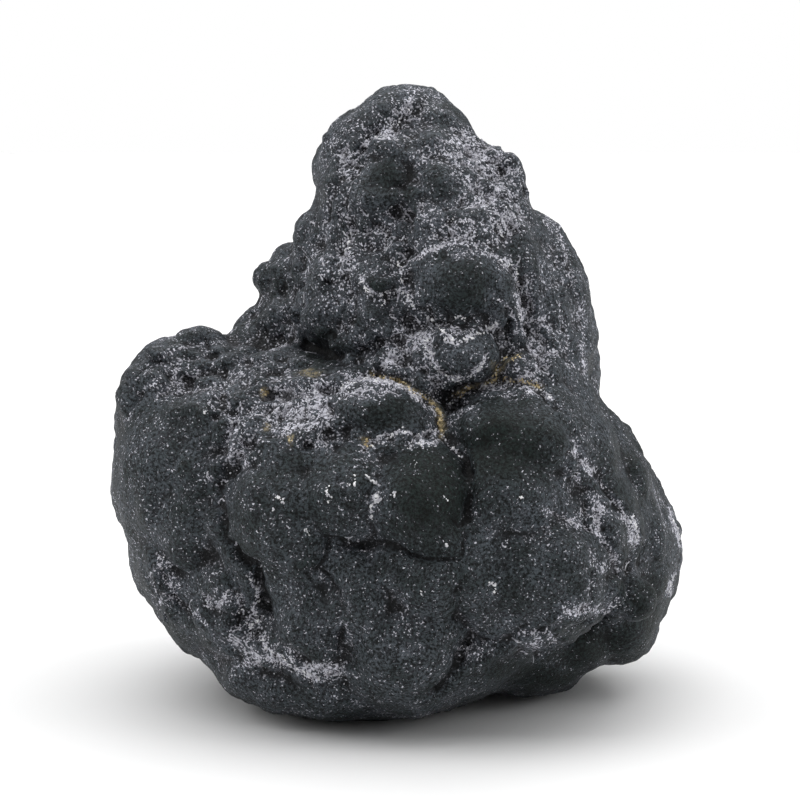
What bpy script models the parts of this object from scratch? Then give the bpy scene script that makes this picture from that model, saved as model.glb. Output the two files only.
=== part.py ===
"""A dark botryoidal howlite nodule, about 85 mm tall, as one closed solid standing on its own lobes.

Every lobe is an ellipsoid. They are heaped up, grown together into one skin by a voxel remesh,
made uneven, creased, thinned to few triangles and worn flat where the stone touches the table.
The lobes are placed as the front view shows them: across and up in the picture, and towards the viewer.
"""

import math

import bmesh
import bpy
from mathutils import Matrix, Vector, noise
from mathutils.bvhtree import BVHTree
from mathutils.geometry import intersect_point_line

MM = 0.001

# The front view: how far above level it looks from, how far away, and the height it is centred on
VIEW_ELEVATION = math.radians(12)
VIEW_DISTANCE = 600
VIEW_CENTRE_UP = 45

# Where the standing plane and the middle of the footprint lie before the stone is moved to its origin
TABLE_LEVEL = 2.6
MIDDLE_X = -0.2
MIDDLE_Y = 6.55

# The skin: size of the voxels, and how many triangles are left once it is thinned
VOXEL = 0.8
TRIANGLES = 9600

# Unevenness of the grown surface: wavelength and height, and how much higher the waves are at the back
WAVES = [(15, 0.7), (6, 0.4)]
BACK_WAVES = 2.4

# Low grape-like swellings all over it: size and height, the voronoi distance at which they neither
# rise nor sink, and how much is left of them below the waist on the worn front
GRAPE = 6.5
GRAPE_HEIGHT = 0.8
GRAPE_EVEN = 0.45
WORN = 0.35
WAIST_UP = 46
WAIST_FADE = 6

# Lobes are across, up, how far the front face stands towards the viewer, half width, half height,
# half depth, and lean to the right in degrees
CORES = [
    (2, 22, 29, 27, 20, 27, 0),
    (-10, 26, 29, 18, 18, 24, 0),
    (6, 24, 32.5, 20, 19, 27, 0),
    (12, 30, 30.5, 18, 17, 24, 0),
    (2, 13, 28, 17, 12, 20, 0),
    (-27, 32, 17, 12, 19, 19, 0),
    (-14.5, 15, 20.5, 12.5, 11, 18, 0),
    (-3, 42, 23, 22, 11, 18, 0),
    (6, 45, 21.5, 20, 10, 18, 0),
    (7, 60, 18.5, 15, 18, 18, 0),
    (-1, 64, 14.5, 11, 18, 15, 6),
    (4, 74, 12, 11, 12, 13, 0),
    (26, 26, 15, 12, 15, 17, 0),
    (-22, 21, 19.5, 11, 12, 17, -20),
]

HEAD = [
    (1.2, 84.6, 7.5, 6.2, 4.7, 8, 0),
    (4.8, 82.8, 9.5, 4.4, 4.6, 8, 0),
    (-3.9, 82.3, 9.5, 3.8, 8.0, 7, 46),
    (-8.0, 78.6, 6.5, 3.8, 5.6, 7, 14),
    (-0.3, 77.6, 14.5, 6.2, 5.2, 8, 0),
    (-2.3, 72.0, 16.5, 6.0, 4.8, 8, 20),
    (2.2, 72.4, 17.2, 5.0, 5.6, 9, 0),
    (6.3, 74.4, 17, 6.0, 6.4, 8, 0),
    (4.0, 80.0, 13, 5.0, 3.6, 7, 0),
    (-10.9, 68.0, 8.5, 3.9, 6.9, 9, 8),
    (-7.3, 70.5, 13, 5.4, 8.6, 10, 8),
    (7.7, 67.6, 20.5, 11, 7.6, 13, 0),
    (8.9, 60.6, 23.5, 10.6, 9.2, 14, 0),
    (14.6, 61.4, 20.5, 6.0, 9.0, 11, 0),
    (-8.9, 59.6, 15.5, 5.6, 8.2, 10, 5),
    (-12.2, 59.2, 10.5, 3.6, 7.0, 9, 5),
    (-2.6, 61.6, 20.3, 5.6, 5.6, 9, 0),
    (-2.6, 56.4, 20.2, 5.4, 4.8, 9, 0),
    (-5.4, 53.2, 16.4, 4.6, 3.4, 6, 0),
    (0.3, 54.0, 20.4, 3.8, 3.6, 6, 0),
    (7.6, 50.8, 24.5, 6.4, 5.8, 9, 0),
    (15.0, 76.0, 9.5, 3.2, 3.2, 6, 0),
    (12.0, 78.4, 9.8, 3.4, 2.9, 6, 0),
    (9.8, 81.0, 8, 2.8, 2.6, 6, 0),
    (14.2, 72.4, 14, 5.2, 4.6, 8, 0),
    (20.9, 59.3, 11, 5.9, 11.8, 13, -10),
    (19.2, 56.6, 15.5, 5.2, 9.4, 11, -4),
    (17.8, 66.8, 11, 4.5, 5.6, 11, -14),
    (22.2, 50.6, 14.5, 4.6, 6.2, 10, -6),
    (25.4, 48.8, 0, 2.6, 3.5, 4, 0),
    (15.2, 52.6, 19.4, 3.2, 4.0, 6, 0),
]

WAIST = [
    (0.3, 49.2, 22.0, 5.4, 3.6, 7, 0),
    (5.2, 47.4, 22.8, 3.8, 2.4, 5, -20),
    (17.3, 48.2, 21.6, 6.8, 4.2, 9, -10),
    (23.0, 44.0, 18.6, 5.2, 5.2, 9, -30),
    (-2.4, 42.4, 28, 9.4, 6.0, 12, 0),
    (-0.5, 38.6, 28.9, 10, 6, 12, 0),
    (-11.2, 40.0, 26.5, 9, 6.0, 12, 0),
    (-11.2, 44.6, 21.5, 9, 4.6, 11, 0),
    (-18.9, 44.0, 18.5, 8, 5.2, 10, 0),
    (-15.4, 49.2, 12, 8, 3.6, 10, 0),
    (-22.4, 48.8, 10, 7, 3.9, 10, 0),
    (-13.8, 52.2, 6, 2.6, 2.4, 4, 0),
    (-15.6, 61.0, 0, 4.2, 5.1, 8, 0),
    (-16.6, 56.0, 3.6, 4.4, 4.2, 8, 0),
    (-20.2, 52.8, 1, 3.8, 3.3, 6, 0),
]

LEFT = [
    (-30.8, 35.0, 18, 9.4, 14, 17, 4),
    (-30.8, 47.7, 8, 7.6, 6.9, 11, 10),
    (-32.7, 42.8, 12, 7.2, 7.2, 12, 0),
    (-27.0, 52.0, 5, 3.2, 3.0, 6, 0),
    (-25.9, 40.6, 19, 7.4, 7.2, 12, 0),
    (-26.5, 33.5, 20.2, 8.5, 13, 16, 0),
    (-28.2, 28.6, 20, 7.6, 8.4, 12, 0),
    (-31.6, 23.0, 14.5, 6.2, 8.6, 14, -14),
    (-28.0, 15.6, 13.5, 5.4, 6.8, 12, -24),
    (-24.0, 20.0, 20.5, 5.6, 5.2, 9, 0),
    (-23.2, 13.8, 18.5, 5.8, 5.0, 9, 0),
    (-23.6, 10.2, 12, 4.2, 3.8, 8, -30),
    (-20.4, 7.4, 16, 5.4, 4.2, 9, -20),
    (-15.0, 5.6, 18, 7.0, 4.3, 10, -10),
    (-17.6, 11.6, 20.5, 5.8, 5.2, 9, 0),
]

FRONT = [
    (-14.7, 28.6, 30, 12.4, 13.6, 17, 0),
    (-16.2, 36.8, 27.3, 8.6, 7.2, 12, 0),
    (-7.0, 32.0, 32.8, 8.6, 9.4, 15, 0),
    (2.6, 30.4, 34.2, 10, 11, 17, 0),
    (0.7, 12.6, 30.5, 11.4, 12.4, 17, 0),
    (-5.2, 18.5, 31.2, 8, 9.4, 14, 0),
    (-11.6, 14.6, 28.6, 7.6, 9.6, 14, 0),
    (4.5, 20.0, 32.9, 8, 7.4, 13, 0),
    (-8.4, 5.6, 21, 9.4, 5.6, 12, 0),
    (-1.4, 4.6, 18, 9.2, 4.8, 11, 0),
    (7.0, 7.6, 8, 7.0, 5.0, 9, 0),
]

RIGHT = [
    (16.6, 38.6, 30, 12, 10, 16, 0),
    (14.2, 32.0, 32.2, 10.4, 9.4, 15, 0),
    (23.4, 36.9, 23.8, 7.2, 10.2, 13, -14),
    (18.7, 20.8, 31.8, 12, 11, 17, 0),
    (26.7, 27.6, 23, 7.6, 9.4, 13, -10),
    (30.0, 18.8, 19, 4.6, 4.5, 8, 0),
    (32.5, 24.6, 9, 6.9, 11.6, 15, -6),
    (26.8, 37.8, 8, 5.4, 8.6, 12, -24),
    (31.0, 15.0, 7, 5.6, 6.8, 11, 16),
    (30.2, 11.8, 4, 4.2, 3.2, 7, 0),
    (17.5, 9.0, 10.5, 8.8, 6.0, 12, 8),
    (23.6, 11.4, 9.5, 6.0, 4.8, 10, 12),
    (12.0, 7.2, 9.5, 4.6, 3.8, 8, 0),
]

BACK = [
    (-18, 31, -9, 13, 13, 11, 0),
    (2, 33, -13, 13, 14, 10, 0),
    (19, 28, -5, 12, 12, 12, 0),
    (-29, 29, 0, 9, 12, 10, 0),
    (-9, 16, -9, 12, 9, 11, 0),
    (12, 16, -8, 12, 9, 11, 0),
    (-21.5, 18, -2, 10, 8.6, 10, 0),
    (24.5, 16, -1, 9, 7.4, 9, 0),
    (-12, 46, -5, 10, 9, 9, 0),
    (6, 50, -7, 12, 10, 9, 0),
    (18.4, 45, -2, 8.4, 9, 9, 0),
    (-20.5, 43.5, -1, 8.5, 7.5, 8, 0),
    (11, 40, -8, 9, 9, 10, 0),
    (-6, 61, -3, 8, 9, 8, 0),
    (9, 66, -4, 10, 10, 8, 0),
    (16.6, 56, 0, 8, 9, 8, 0),
    (1, 76, -1, 8, 8, 6, 0),
    (7.5, 75.5, 3, 6.2, 6.2, 7, 0),
]

# Grooves worn along creases on the front: depth, half width, and the way they run, across and up
CREASES = [
    # Between the left lobe and the front, down to the pit at its foot
    (1.6, 1.1, [(-21, 39.5), (-23, 36), (-24.4, 33.2), (-24.9, 28.3), (-24.1, 25.5), (-22.4, 23)]),
    (2.0, 1.1, [(-22.4, 23), (-20.3, 22), (-19.3, 18.5), (-18.8, 15.7)]),
    (0.9, 1.0, [(-18.8, 15.7), (-17.2, 12.4), (-14, 8.7), (-11.2, 6.6)]),
    # Under the crest, and down the brow
    (1.3, 1.0, [(2.5, 86), (-1.1, 84.3), (-3.5, 81.5), (-5.3, 79.4), (-7, 78)]),
    (0.9, 0.9, [(0, 75.6), (1.8, 74.9), (3.5, 75.5)]),
    (1.1, 1.0, [(-5.3, 68.6), (-2.8, 70), (0.7, 71.4)]),
    # The fissure on the right of the head
    (1.9, 0.9, [(16.9, 64), (16.9, 61.2), (17.4, 59.1), (18, 57), (18, 54)]),
    (1.4, 0.9, [(16.8, 52.8), (18.2, 51.4), (20.6, 49)]),
    # Behind the left of the head, and the hollow under it
    (1.5, 1.1, [(-13.3, 64.4), (-14, 61.9), (-15.4, 60.2)]),
    (2.6, 1.4, [(-12.6, 52.3), (-10.8, 51.4), (-8, 50.6)]),
    # The seams of the waist and the pit where they meet
    (1.2, 0.9, [(-3.9, 48.6), (-0.7, 47.9), (2.1, 46.2), (4.2, 44.8), (5.6, 43), (5.7, 40.2)]),
    (1.2, 0.9, [(7.7, 45.4), (9.8, 46.8), (13.3, 47.6), (16.8, 47.9), (19.6, 46.8)]),
    (2.4, 1.5, [(6.6, 45.8), (7.4, 45.2)]),
    # Round the middle lobe of the front
    (0.9, 0.9, [(-3.9, 39.2), (0, 40.4), (2.8, 39.9), (4.9, 40.8), (7, 39), (8.8, 36.8)]),
    (0.9, 0.9, [(8.8, 36.8), (9.8, 31.1), (9, 27.9)]),
    (0.6, 0.9, [(-3.9, 33.9), (-4.8, 31.1), (-4.5, 28.3), (-3.5, 26.2)]),
    (0.9, 0.9, [(-9.8, 25.2), (-6.7, 25.1), (-2.8, 24.8), (0, 23.8), (3.5, 23.2), (8.4, 22.4)]),
    (0.7, 0.9, [(-9.8, 25.5), (-11.2, 21.3), (-9.1, 18.5), (-8, 16)]),
    # Between the two lowest lobes
    (0.7, 0.9, [(8.7, 25.5), (8.4, 20.6), (7.9, 15)]),
    (2.4, 1.1, [(8.1, 14.6), (9.8, 12.6), (11.2, 11.5)]),
    (1.6, 1.1, [(9.8, 12.2), (9.1, 10.1), (7.7, 7.3), (5.6, 4.5)]),
    # Where the right side falls back
    (0.8, 1.1, [(24.5, 45.1), (28, 35.3), (31.5, 28.3), (32.9, 24.8)]),
    (1.0, 1.0, [(-27.3, 54.2), (-26.2, 51.8)]),
]

# Knobs grown on the hidden back: how many, their least and greatest radius, and how proud they stand
BACK_KNOBS = [(46, 5.5, 8.5, 2.2), (150, 2.4, 4.4, 1.3)]
KNOB_CENTRE = Vector((0, 4, 36))
KNOB_REACH = 90
BACK_LEAN = 0.05
GOLDEN_ANGLE = math.pi * (3 - math.sqrt(5))
RADIUS_TURN = 7.3

STONE_COLOUR = (0.026, 0.030, 0.031, 1.0)
STONE_ROUGHNESS = 0.62

TO_WORLD = Matrix.Rotation(-VIEW_ELEVATION, 4, "X")
TO_VIEWER = TO_WORLD.to_3x3() @ Vector((0, -1, 0))


def clear_scene():
    for obj in list(bpy.data.objects):
        bpy.data.objects.remove(obj)


def lobe_matrix(across, up, face, half_width, half_height, half_depth, lean):
    """Turns a unit sphere into a lobe. Nearer things look larger, so a near lobe is drawn in a little."""
    toward = face - half_depth
    nearness = 1 - toward / VIEW_DISTANCE
    place = Vector((across * nearness, -toward, VIEW_CENTRE_UP + (up - VIEW_CENTRE_UP) * nearness))
    sizes = (half_width * nearness, half_depth * nearness, half_height * nearness, 1)
    return (
        TO_WORLD
        @ Matrix.Translation(place)
        @ Matrix.Rotation(math.radians(lean), 4, "Y")
        @ Matrix.Diagonal(sizes)
    )


def in_view(point):
    """Where a point of the stone shows in the front view: across, up and towards the viewer."""
    seen = TO_WORLD.inverted() @ point
    nearness = 1 + seen.y / VIEW_DISTANCE
    return seen.x / nearness, VIEW_CENTRE_UP + (seen.z - VIEW_CENTRE_UP) / nearness, -seen.y


def turned_away(normal):
    """0 wherever the front view sees the skin, edge included, rising to 1 on the back."""
    return min(1, max(0, -1.5 * normal.dot(TO_VIEWER)))


def heap_of(matrices):
    heap = bmesh.new()
    for matrix in matrices:
        bmesh.ops.create_icosphere(heap, subdivisions=4, radius=1, matrix=matrix)
    return heap


def one_skin(heap):
    """Grows overlapping closed shapes together into one closed mesh."""
    mesh = bpy.data.meshes.new("heap")
    heap.to_mesh(mesh)
    heap.free()
    obj = bpy.data.objects.new("heap", mesh)
    bpy.context.scene.collection.objects.link(obj)
    remesh = obj.modifiers.new("grow_together", "REMESH")
    remesh.mode = "VOXEL"
    remesh.voxel_size = VOXEL
    ease = obj.modifiers.new("ease_creases", "SMOOTH")
    ease.factor = 0.5
    ease.iterations = 2
    skin = bpy.data.meshes.new_from_object(obj.evaluated_get(bpy.context.evaluated_depsgraph_get()))
    bpy.data.objects.remove(obj)
    return skin


def back_knobs(skin, count, low, high, proud):
    """Round knobs where rays along a golden spiral meet the back of the skin."""
    tree = BVHTree.FromPolygons([v.co for v in skin.vertices], [p.vertices for p in skin.polygons])
    knobs = []
    for i in range(count):
        height = 1 - 2 * (i + 0.5) / count
        turn = i * GOLDEN_ANGLE
        ring = math.sqrt(1 - height * height)
        # Only the half that faces away from the viewer
        ray = Vector((ring * math.cos(turn), BACK_LEAN + abs(ring * math.sin(turn)), height)).normalized()
        hit, normal, _, _ = tree.ray_cast(KNOB_CENTRE + ray * KNOB_REACH, -ray)
        radius = low + (high - low) * (0.5 + 0.5 * math.sin(RADIUS_TURN * i))
        outward = normal * (proud * turned_away(normal) - radius)
        knobs.append(Matrix.Translation(hit + outward) @ Matrix.Scale(radius, 4))
    return knobs


def roughness_left(vertex):
    """1 on the head and the back, falling to WORN on the lower front."""
    _, up, _ = in_view(vertex.co)
    below_waist = min(1, max(0, (WAIST_UP - up) / WAIST_FADE))
    facing = min(1, max(0, 0.5 + 2 * vertex.normal.dot(TO_VIEWER)))
    return 1 - (1 - WORN) * below_waist * facing


def make_uneven(skin):
    """Pushes the skin in and out by slow noise and small swellings, so that no lobe stays an ellipsoid."""
    bm = bmesh.new()
    bm.from_mesh(skin)
    bm.normal_update()
    for vertex in bm.verts:
        push = sum(height * noise.noise(vertex.co / wave) for wave, height in WAVES)
        push *= 1 + (BACK_WAVES - 1) * turned_away(vertex.normal)
        to_nearest_grape = noise.voronoi(vertex.co / GRAPE)[0][0]
        push += GRAPE_HEIGHT * roughness_left(vertex) * (GRAPE_EVEN - to_nearest_grape)
        vertex.co += vertex.normal * push
    bm.to_mesh(skin)
    bm.free()


def groove_depth(across, up):
    """How deep the creases are worn at a place of the front view."""
    place = Vector((across, up))
    deepest = 0
    for depth, half_width, way in CREASES:
        for start, end in zip(way, way[1:]):
            _, along = intersect_point_line(place, start, end)
            foot = Vector(start).lerp(Vector(end), min(1, max(0, along)))
            away = (place - foot).length / half_width
            deepest = max(deepest, depth * math.exp(-away * away))
    return deepest


def wear_creases(skin):
    """Lowers the skin along the creases, only where it faces the viewer."""
    bm = bmesh.new()
    bm.from_mesh(skin)
    bm.normal_update()
    for vertex in bm.verts:
        facing = vertex.normal.dot(TO_VIEWER)
        if facing > 0:
            across, up, _ = in_view(vertex.co)
            vertex.co -= TO_VIEWER * groove_depth(across, up) * min(1, 2 * facing)
    bm.to_mesh(skin)
    bm.free()


def thinned(skin):
    """Leaves about TRIANGLES triangles, most of them at the creases."""
    obj = bpy.data.objects.new("thin", skin)
    bpy.context.scene.collection.objects.link(obj)
    thin = obj.modifiers.new("thin", "DECIMATE")
    skin.calc_loop_triangles()
    thin.ratio = TRIANGLES / len(skin.loop_triangles)
    mesh = bpy.data.meshes.new_from_object(obj.evaluated_get(bpy.context.evaluated_depsgraph_get()))
    bpy.data.objects.remove(obj)
    return mesh


def stand_on_table(mesh):
    """Moves the stone over its origin, cuts off what would be under the table, and makes it metres."""
    bm = bmesh.new()
    bm.from_mesh(mesh)
    bmesh.ops.translate(bm, verts=bm.verts, vec=(-MIDDLE_X, -MIDDLE_Y, -TABLE_LEVEL))
    bmesh.ops.bisect_plane(
        bm,
        geom=bm.verts[:] + bm.edges[:] + bm.faces[:],
        plane_co=(0, 0, 0),
        plane_no=(0, 0, 1),
        clear_inner=True,
    )
    bmesh.ops.holes_fill(bm, edges=[edge for edge in bm.edges if edge.is_boundary])
    bmesh.ops.triangulate(bm, faces=bm.faces[:])
    bmesh.ops.recalc_face_normals(bm, faces=bm.faces[:])
    bmesh.ops.scale(bm, verts=bm.verts, vec=(MM, MM, MM))
    bm.to_mesh(mesh)
    bm.free()


def stone_material():
    material = bpy.data.materials.new("dark_howlite")
    material.use_nodes = True
    shader = material.node_tree.nodes["Principled BSDF"]
    shader.inputs["Base Color"].default_value = STONE_COLOUR
    shader.inputs["Roughness"].default_value = STONE_ROUGHNESS
    shader.inputs["Metallic"].default_value = 0.0
    return material


def main():
    clear_scene()
    rows = CORES + HEAD + WAIST + LEFT + FRONT + RIGHT + BACK
    lobes = [lobe_matrix(*row) for row in rows]
    skin = one_skin(heap_of(lobes))
    for count, low, high, proud in BACK_KNOBS:
        lobes += back_knobs(skin, count, low, high, proud)
        skin = one_skin(heap_of(lobes))
    make_uneven(skin)
    wear_creases(skin)
    mesh = thinned(skin)
    stand_on_table(mesh)
    mesh.name = "howlite_nodule"
    mesh.materials.append(stone_material())
    mesh.shade_smooth()
    stone = bpy.data.objects.new("howlite_nodule", mesh)
    parts = bpy.data.collections.new("howlite")
    bpy.context.scene.collection.children.link(parts)
    parts.objects.link(stone)
    low = [min(v.co[i] for v in mesh.vertices) / MM for i in range(3)]
    high = [max(v.co[i] for v in mesh.vertices) / MM for i in range(3)]
    print("box in mm:", [round(a, 2) for a in low], [round(a, 2) for a in high])
    print("triangles:", len(mesh.polygons))


main()
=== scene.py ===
# %% [markdown]
# # A dark howlite nodule, from a plain solid to a frosted stone
# The real thing is one grown lump of stone, so one large piece stands for it, with three scatters of
# tiny grains on its skin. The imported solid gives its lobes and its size. What this script adds is what
# a solid of ten thousand triangles can't hold: the small knobs and cracks, the worn faces, the crumbly
# pale frost and the ochre clay in the seams. All lengths are in millimetres until a piece is finished.

# %% The frame and the units
import math
import time

import bmesh
import bpy
import numpy as np
from mathutils import Matrix, Vector, noise
from mathutils.bvhtree import BVHTree


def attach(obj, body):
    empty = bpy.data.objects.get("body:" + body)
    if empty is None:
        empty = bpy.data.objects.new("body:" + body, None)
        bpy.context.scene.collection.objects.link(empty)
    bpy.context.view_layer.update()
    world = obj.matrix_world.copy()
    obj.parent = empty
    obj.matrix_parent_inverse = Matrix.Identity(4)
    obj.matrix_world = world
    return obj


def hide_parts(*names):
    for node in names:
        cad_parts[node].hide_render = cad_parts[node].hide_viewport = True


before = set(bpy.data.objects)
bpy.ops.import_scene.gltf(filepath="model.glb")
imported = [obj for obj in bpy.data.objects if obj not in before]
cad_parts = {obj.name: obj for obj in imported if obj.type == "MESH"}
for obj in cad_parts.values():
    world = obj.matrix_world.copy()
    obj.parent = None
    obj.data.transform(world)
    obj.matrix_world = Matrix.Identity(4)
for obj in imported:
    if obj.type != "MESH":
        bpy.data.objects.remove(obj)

MM = 0.001
started = time.time()
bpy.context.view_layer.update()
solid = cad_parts["howlite_nodule"]

# %% [markdown]
# The photograph looks down on the stone by 12 degrees from 0.6 m away. The camera comes first, because
# the knobs, cracks and patches of frost on the front are placed by where they show in that view: so
# many millimetres across from its middle and up from its foot, in the plane that cuts the stone in
# half. A ray from the camera through such a place finds the stone itself.

# %% The camera at the photograph's angle
VIEW_ELEVATION = math.radians(12)
VIEW_DISTANCE = 600
VIEW_CENTRE_UP = 45
VIEW_WIDTH = 112
VIEW_FOOT = Vector((0.2, -6.55, -2.6))
SENSOR = 36
NEAR_CLIP = 0.01

VIEW = Matrix.Translation(VIEW_FOOT) @ Matrix.Rotation(-VIEW_ELEVATION, 4, "X")
TO_VIEWER = VIEW.to_3x3() @ Vector((0, -1, 0))
EYE = VIEW @ Vector((0, -VIEW_DISTANCE, VIEW_CENTRE_UP))

camera = bpy.data.objects.new("camera", bpy.data.cameras.new("camera"))
bpy.context.scene.collection.objects.link(camera)
camera.data.sensor_width = SENSOR
camera.data.lens = SENSOR * VIEW_DISTANCE / VIEW_WIDTH
camera.data.clip_start = NEAR_CLIP
camera.matrix_world = (
    Matrix.Translation(EYE * MM) @ Matrix.Rotation(math.radians(90) - VIEW_ELEVATION, 4, "X")
)
bpy.context.scene.camera = camera
print("the camera stands", [round(c) for c in EYE], "mm from the origin")

# %% [markdown]
# The work is done on a copy of the solid in millimetres. Its triangles are loose, so the copy is
# merged first. The facets could be hidden by smooth shading, but its edge would still be a polygon. One
# round of subdivision takes them away and leaves the lobes.

# %% A smooth copy of the solid, in millimetres
MERGE = 0.00001
SMOOTH_ROUNDS = 1


def link(obj):
    bpy.context.scene.collection.objects.link(obj)
    return obj


def evaluated_mesh(obj):
    depsgraph = bpy.context.evaluated_depsgraph_get()
    return bpy.data.meshes.new_from_object(obj.evaluated_get(depsgraph))


def smooth_copy(source, levels):
    bm = bmesh.new()
    bm.from_mesh(source.data)
    bmesh.ops.remove_doubles(bm, verts=bm.verts, dist=MERGE)
    bmesh.ops.scale(bm, verts=bm.verts, vec=(1 / MM, 1 / MM, 1 / MM))
    mesh = bpy.data.meshes.new("smooth_solid")
    bm.to_mesh(mesh)
    bm.free()
    obj = link(bpy.data.objects.new("smooth_solid", mesh))
    rounds = obj.modifiers.new("rounds", "SUBSURF")
    rounds.levels = levels
    rounds.render_levels = levels
    smooth = evaluated_mesh(obj)
    bpy.data.objects.remove(obj)
    return smooth


smooth_solid = smooth_copy(solid, SMOOTH_ROUNDS)
print("smooth copy:", len(smooth_solid.vertices), "vertices")

# %% Finding a place of the view on the stone
def tree_of(mesh):
    """A mesh sorted for rays and for nearest points."""
    return BVHTree.FromPolygons([v.co for v in mesh.vertices], [p.vertices for p in mesh.polygons])


def sight_line(across, up):
    """From the eye through a place in the view's middle plane."""
    return (VIEW @ Vector((across, 0, up)) - EYE).normalized()


def on_stone(across, up):
    hit, normal, _, _ = solid_tree.ray_cast(EYE, sight_line(across, up))
    return hit, normal


solid_tree = tree_of(smooth_solid)
print("the middle of the front is at", [round(c, 1) for c in on_stone(0, 30)[0]])

# %% [markdown]
# Four fields say what the surface is like from place to place: how rough it is, how frosted, how worn,
# and how much clay it holds. Some patches of the worn field paint shade on the underside of the lower
# right. They could be painted by hand on the mesh, but the mesh is made anew each run. So each is a set
# of soft patches in the view, looked up for whole arrays of points at once, because the skin has several
# hundred thousand.

# %% Points and normals as arrays, and where they show in the view
def points_of(mesh):
    co = np.empty(len(mesh.vertices) * 3)
    mesh.vertices.foreach_get("co", co)
    return co.reshape(-1, 3)


def normals_of(mesh):
    normals = np.empty(len(mesh.vertices) * 3)
    mesh.vertex_normals.foreach_get("vector", normals)
    return normals.reshape(-1, 3)


def in_view(co):
    """Across and up in the view's middle plane, for every point."""
    back = np.array(VIEW.inverted())
    seen = co @ back[:3, :3].T + back[:3, 3]
    nearness = 1 + seen[:, 1] / VIEW_DISTANCE
    return np.stack([seen[:, 0] / nearness, VIEW_CENTRE_UP + (seen[:, 2] - VIEW_CENTRE_UP) / nearness], 1)


def facing(normals):
    """1 where the skin looks at the viewer, 0 at the edge of the view and behind."""
    return np.clip(2.5 * normals @ np.array(TO_VIEWER), 0, 1)


def slow_noise(co, wave, seed):
    """Smooth noise from about -1 to 1, one value a point."""
    shift = Vector((seed * 17.3, seed * 5.1, seed * 9.7))
    return np.array([noise.noise(Vector(p) / wave + shift) for p in co])


def shaken(seen, co, reach, wave, seed):
    """What is listed is too even, so the places that are looked up are shaken a little."""
    return seen + reach * np.stack([slow_noise(co, wave, seed), slow_noise(co, wave, seed + 1)], 1)


print("least across and least up of the smooth solid:", in_view(points_of(smooth_solid)).min(0).round(1))

# %% Patches of the view: across, up, half width, half height, strength
FROST = [
    (0, 85, 2.1, 2.5, 0.8), (-2.1, 81.8, 3, 2.4, 0.9), (-6.7, 78, 2.8, 3.6, 0.8),
    (12.6, 75.9, 5.2, 6.4, 0.9), (9.8, 80, 4.2, 3.4, 0.9), (14.7, 70.6, 3.2, 3.8, 0.9),
    (2.1, 71, 5.2, 2, 0.7), (-4.2, 68.2, 4.2, 2, 0.7), (9.8, 68.2, 6.4, 3, 0.7),
    (-7.2, 65.4, 1.6, 3.6, 0.9), (-3.4, 61.2, 3.6, 3.8, 0.6), (5.6, 54.9, 6.4, 2.2, 0.65),
    (1.7, 52.8, 3.6, 4.6, 0.9), (5.6, 47.2, 3.2, 2.2, 0.8), (-0.7, 50.4, 4, 3, 0.95),
    (-4.9, 46.8, 6.4, 2.6, 0.85), (-13.3, 45.8, 6.4, 3, 1), (-21, 48.6, 5.4, 3.2, 0.6),
    (-22.4, 39.5, 2.8, 4.8, 0.95), (-12.6, 39.6, 6.2, 1.9, 0.7), (17.1, 48.6, 3.6, 3.2, 0.85),
    (14, 46.8, 6, 1.5, 0.85), (7.7, 43.7, 1.7, 3, 0.9), (19.6, 52.1, 2.4, 5.2, 0.9),
    (17.9, 59.1, 1.5, 5.2, 0.85), (22.4, 64, 2.4, 6, 0.4), (24.5, 36.4, 2.2, 3.6, 0.6),
    (27.6, 28.8, 2, 2.6, 0.7), (29.6, 21.6, 2, 1.5, 0.8), (24.5, 15.7, 2.8, 1.5, 0.8),
    (20.3, 11.5, 3.8, 1.5, 0.85), (-18.2, 9.4, 4.2, 1.9, 0.9), (-11.2, 7, 4.2, 1.6, 0.9),
    (-22.4, 11.9, 3.2, 2.2, 0.8), (-24.5, 17, 3.6, 1.8, 0.8), (-32.9, 18.5, 2.6, 4.4, 0.65),
    (-31.5, 50, 5.4, 1.1, 0.45), (-2.1, 31, 2.2, 3.6, 0.5), (-9.1, 32.5, 2.2, 2.2, 0.45),
    (-28, 35, 4, 4, 0.4), (-30, 48, 6.5, 4, 0.5), (-25.5, 45, 3, 4, 0.6),
    (10.5, 10, 2.6, 2, 0.7), (2, 40, 4.6, 0.9, 0.9),
    (-14, 43.4, 7.5, 4.4, 0.85), (9, 52, 6, 3, 0.4), (9.3, 43.4, 2, 1.8, 0.9),
]
# What is frosted is rough too, and so are these
ROUGH = FROST + [
    (-9, 52, 5, 3.4, 0.8), (-17, 59, 6, 6, 0.7), (4, 64, 14, 20, 0.55),
    (-14, 45, 14, 6, 0.4),
]
# Faces rubbed nearly smooth. The patches at (28, 10), (34.6, 16.5) and (20, 6.5) are painted shade:
# they darken the underside of the lower right, where shade falls.
WORN_AND_SHADED = [
    (8.6, 61, 5.4, 4.6, 0.8), (-1.6, 75.8, 3.4, 3.2, 0.9), (5.8, 75, 2, 3, 0.8),
    (4.5, 31.5, 6.5, 8.5, 1.1), (-14, 30, 9, 8, 0.4), (14.5, 38.6, 6.8, 6, 1.1),
    (16, 20, 9, 7, 0.15), (1, 12, 10, 8, 0.1), (-31, 33, 7, 12, 0.2),
    (-2.5, 42.6, 4.6, 2.4, 0.8), (-3.4, 61.2, 1.4, 1.4, 0.8), (28, 10, 7, 4, 0.9),
    (-11, 52, 3.6, 2, 0.9), (-18, 62, 4, 6, 0.5), (33, 33, 5, 7, 0.5),
    # This row is painted shade on the underside of the lower right, as is (28, 10) above
    (34.6, 16.5, 3, 5.5, 0.9), (20, 6.5, 9, 2.4, 0.9),
]
OCHRE = [
    (-12.6, 48.8, 1.6, 0.4, 0.4), (13.6, 49.4, 0.8, 0.6, 0.5),
    (-19, 46, 0.4, 0.5, 0.8), (-18.8, 41.2, 0.4, 0.5, 0.8), (-15.4, 39.4, 0.4, 0.6, 0.7),
]
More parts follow.
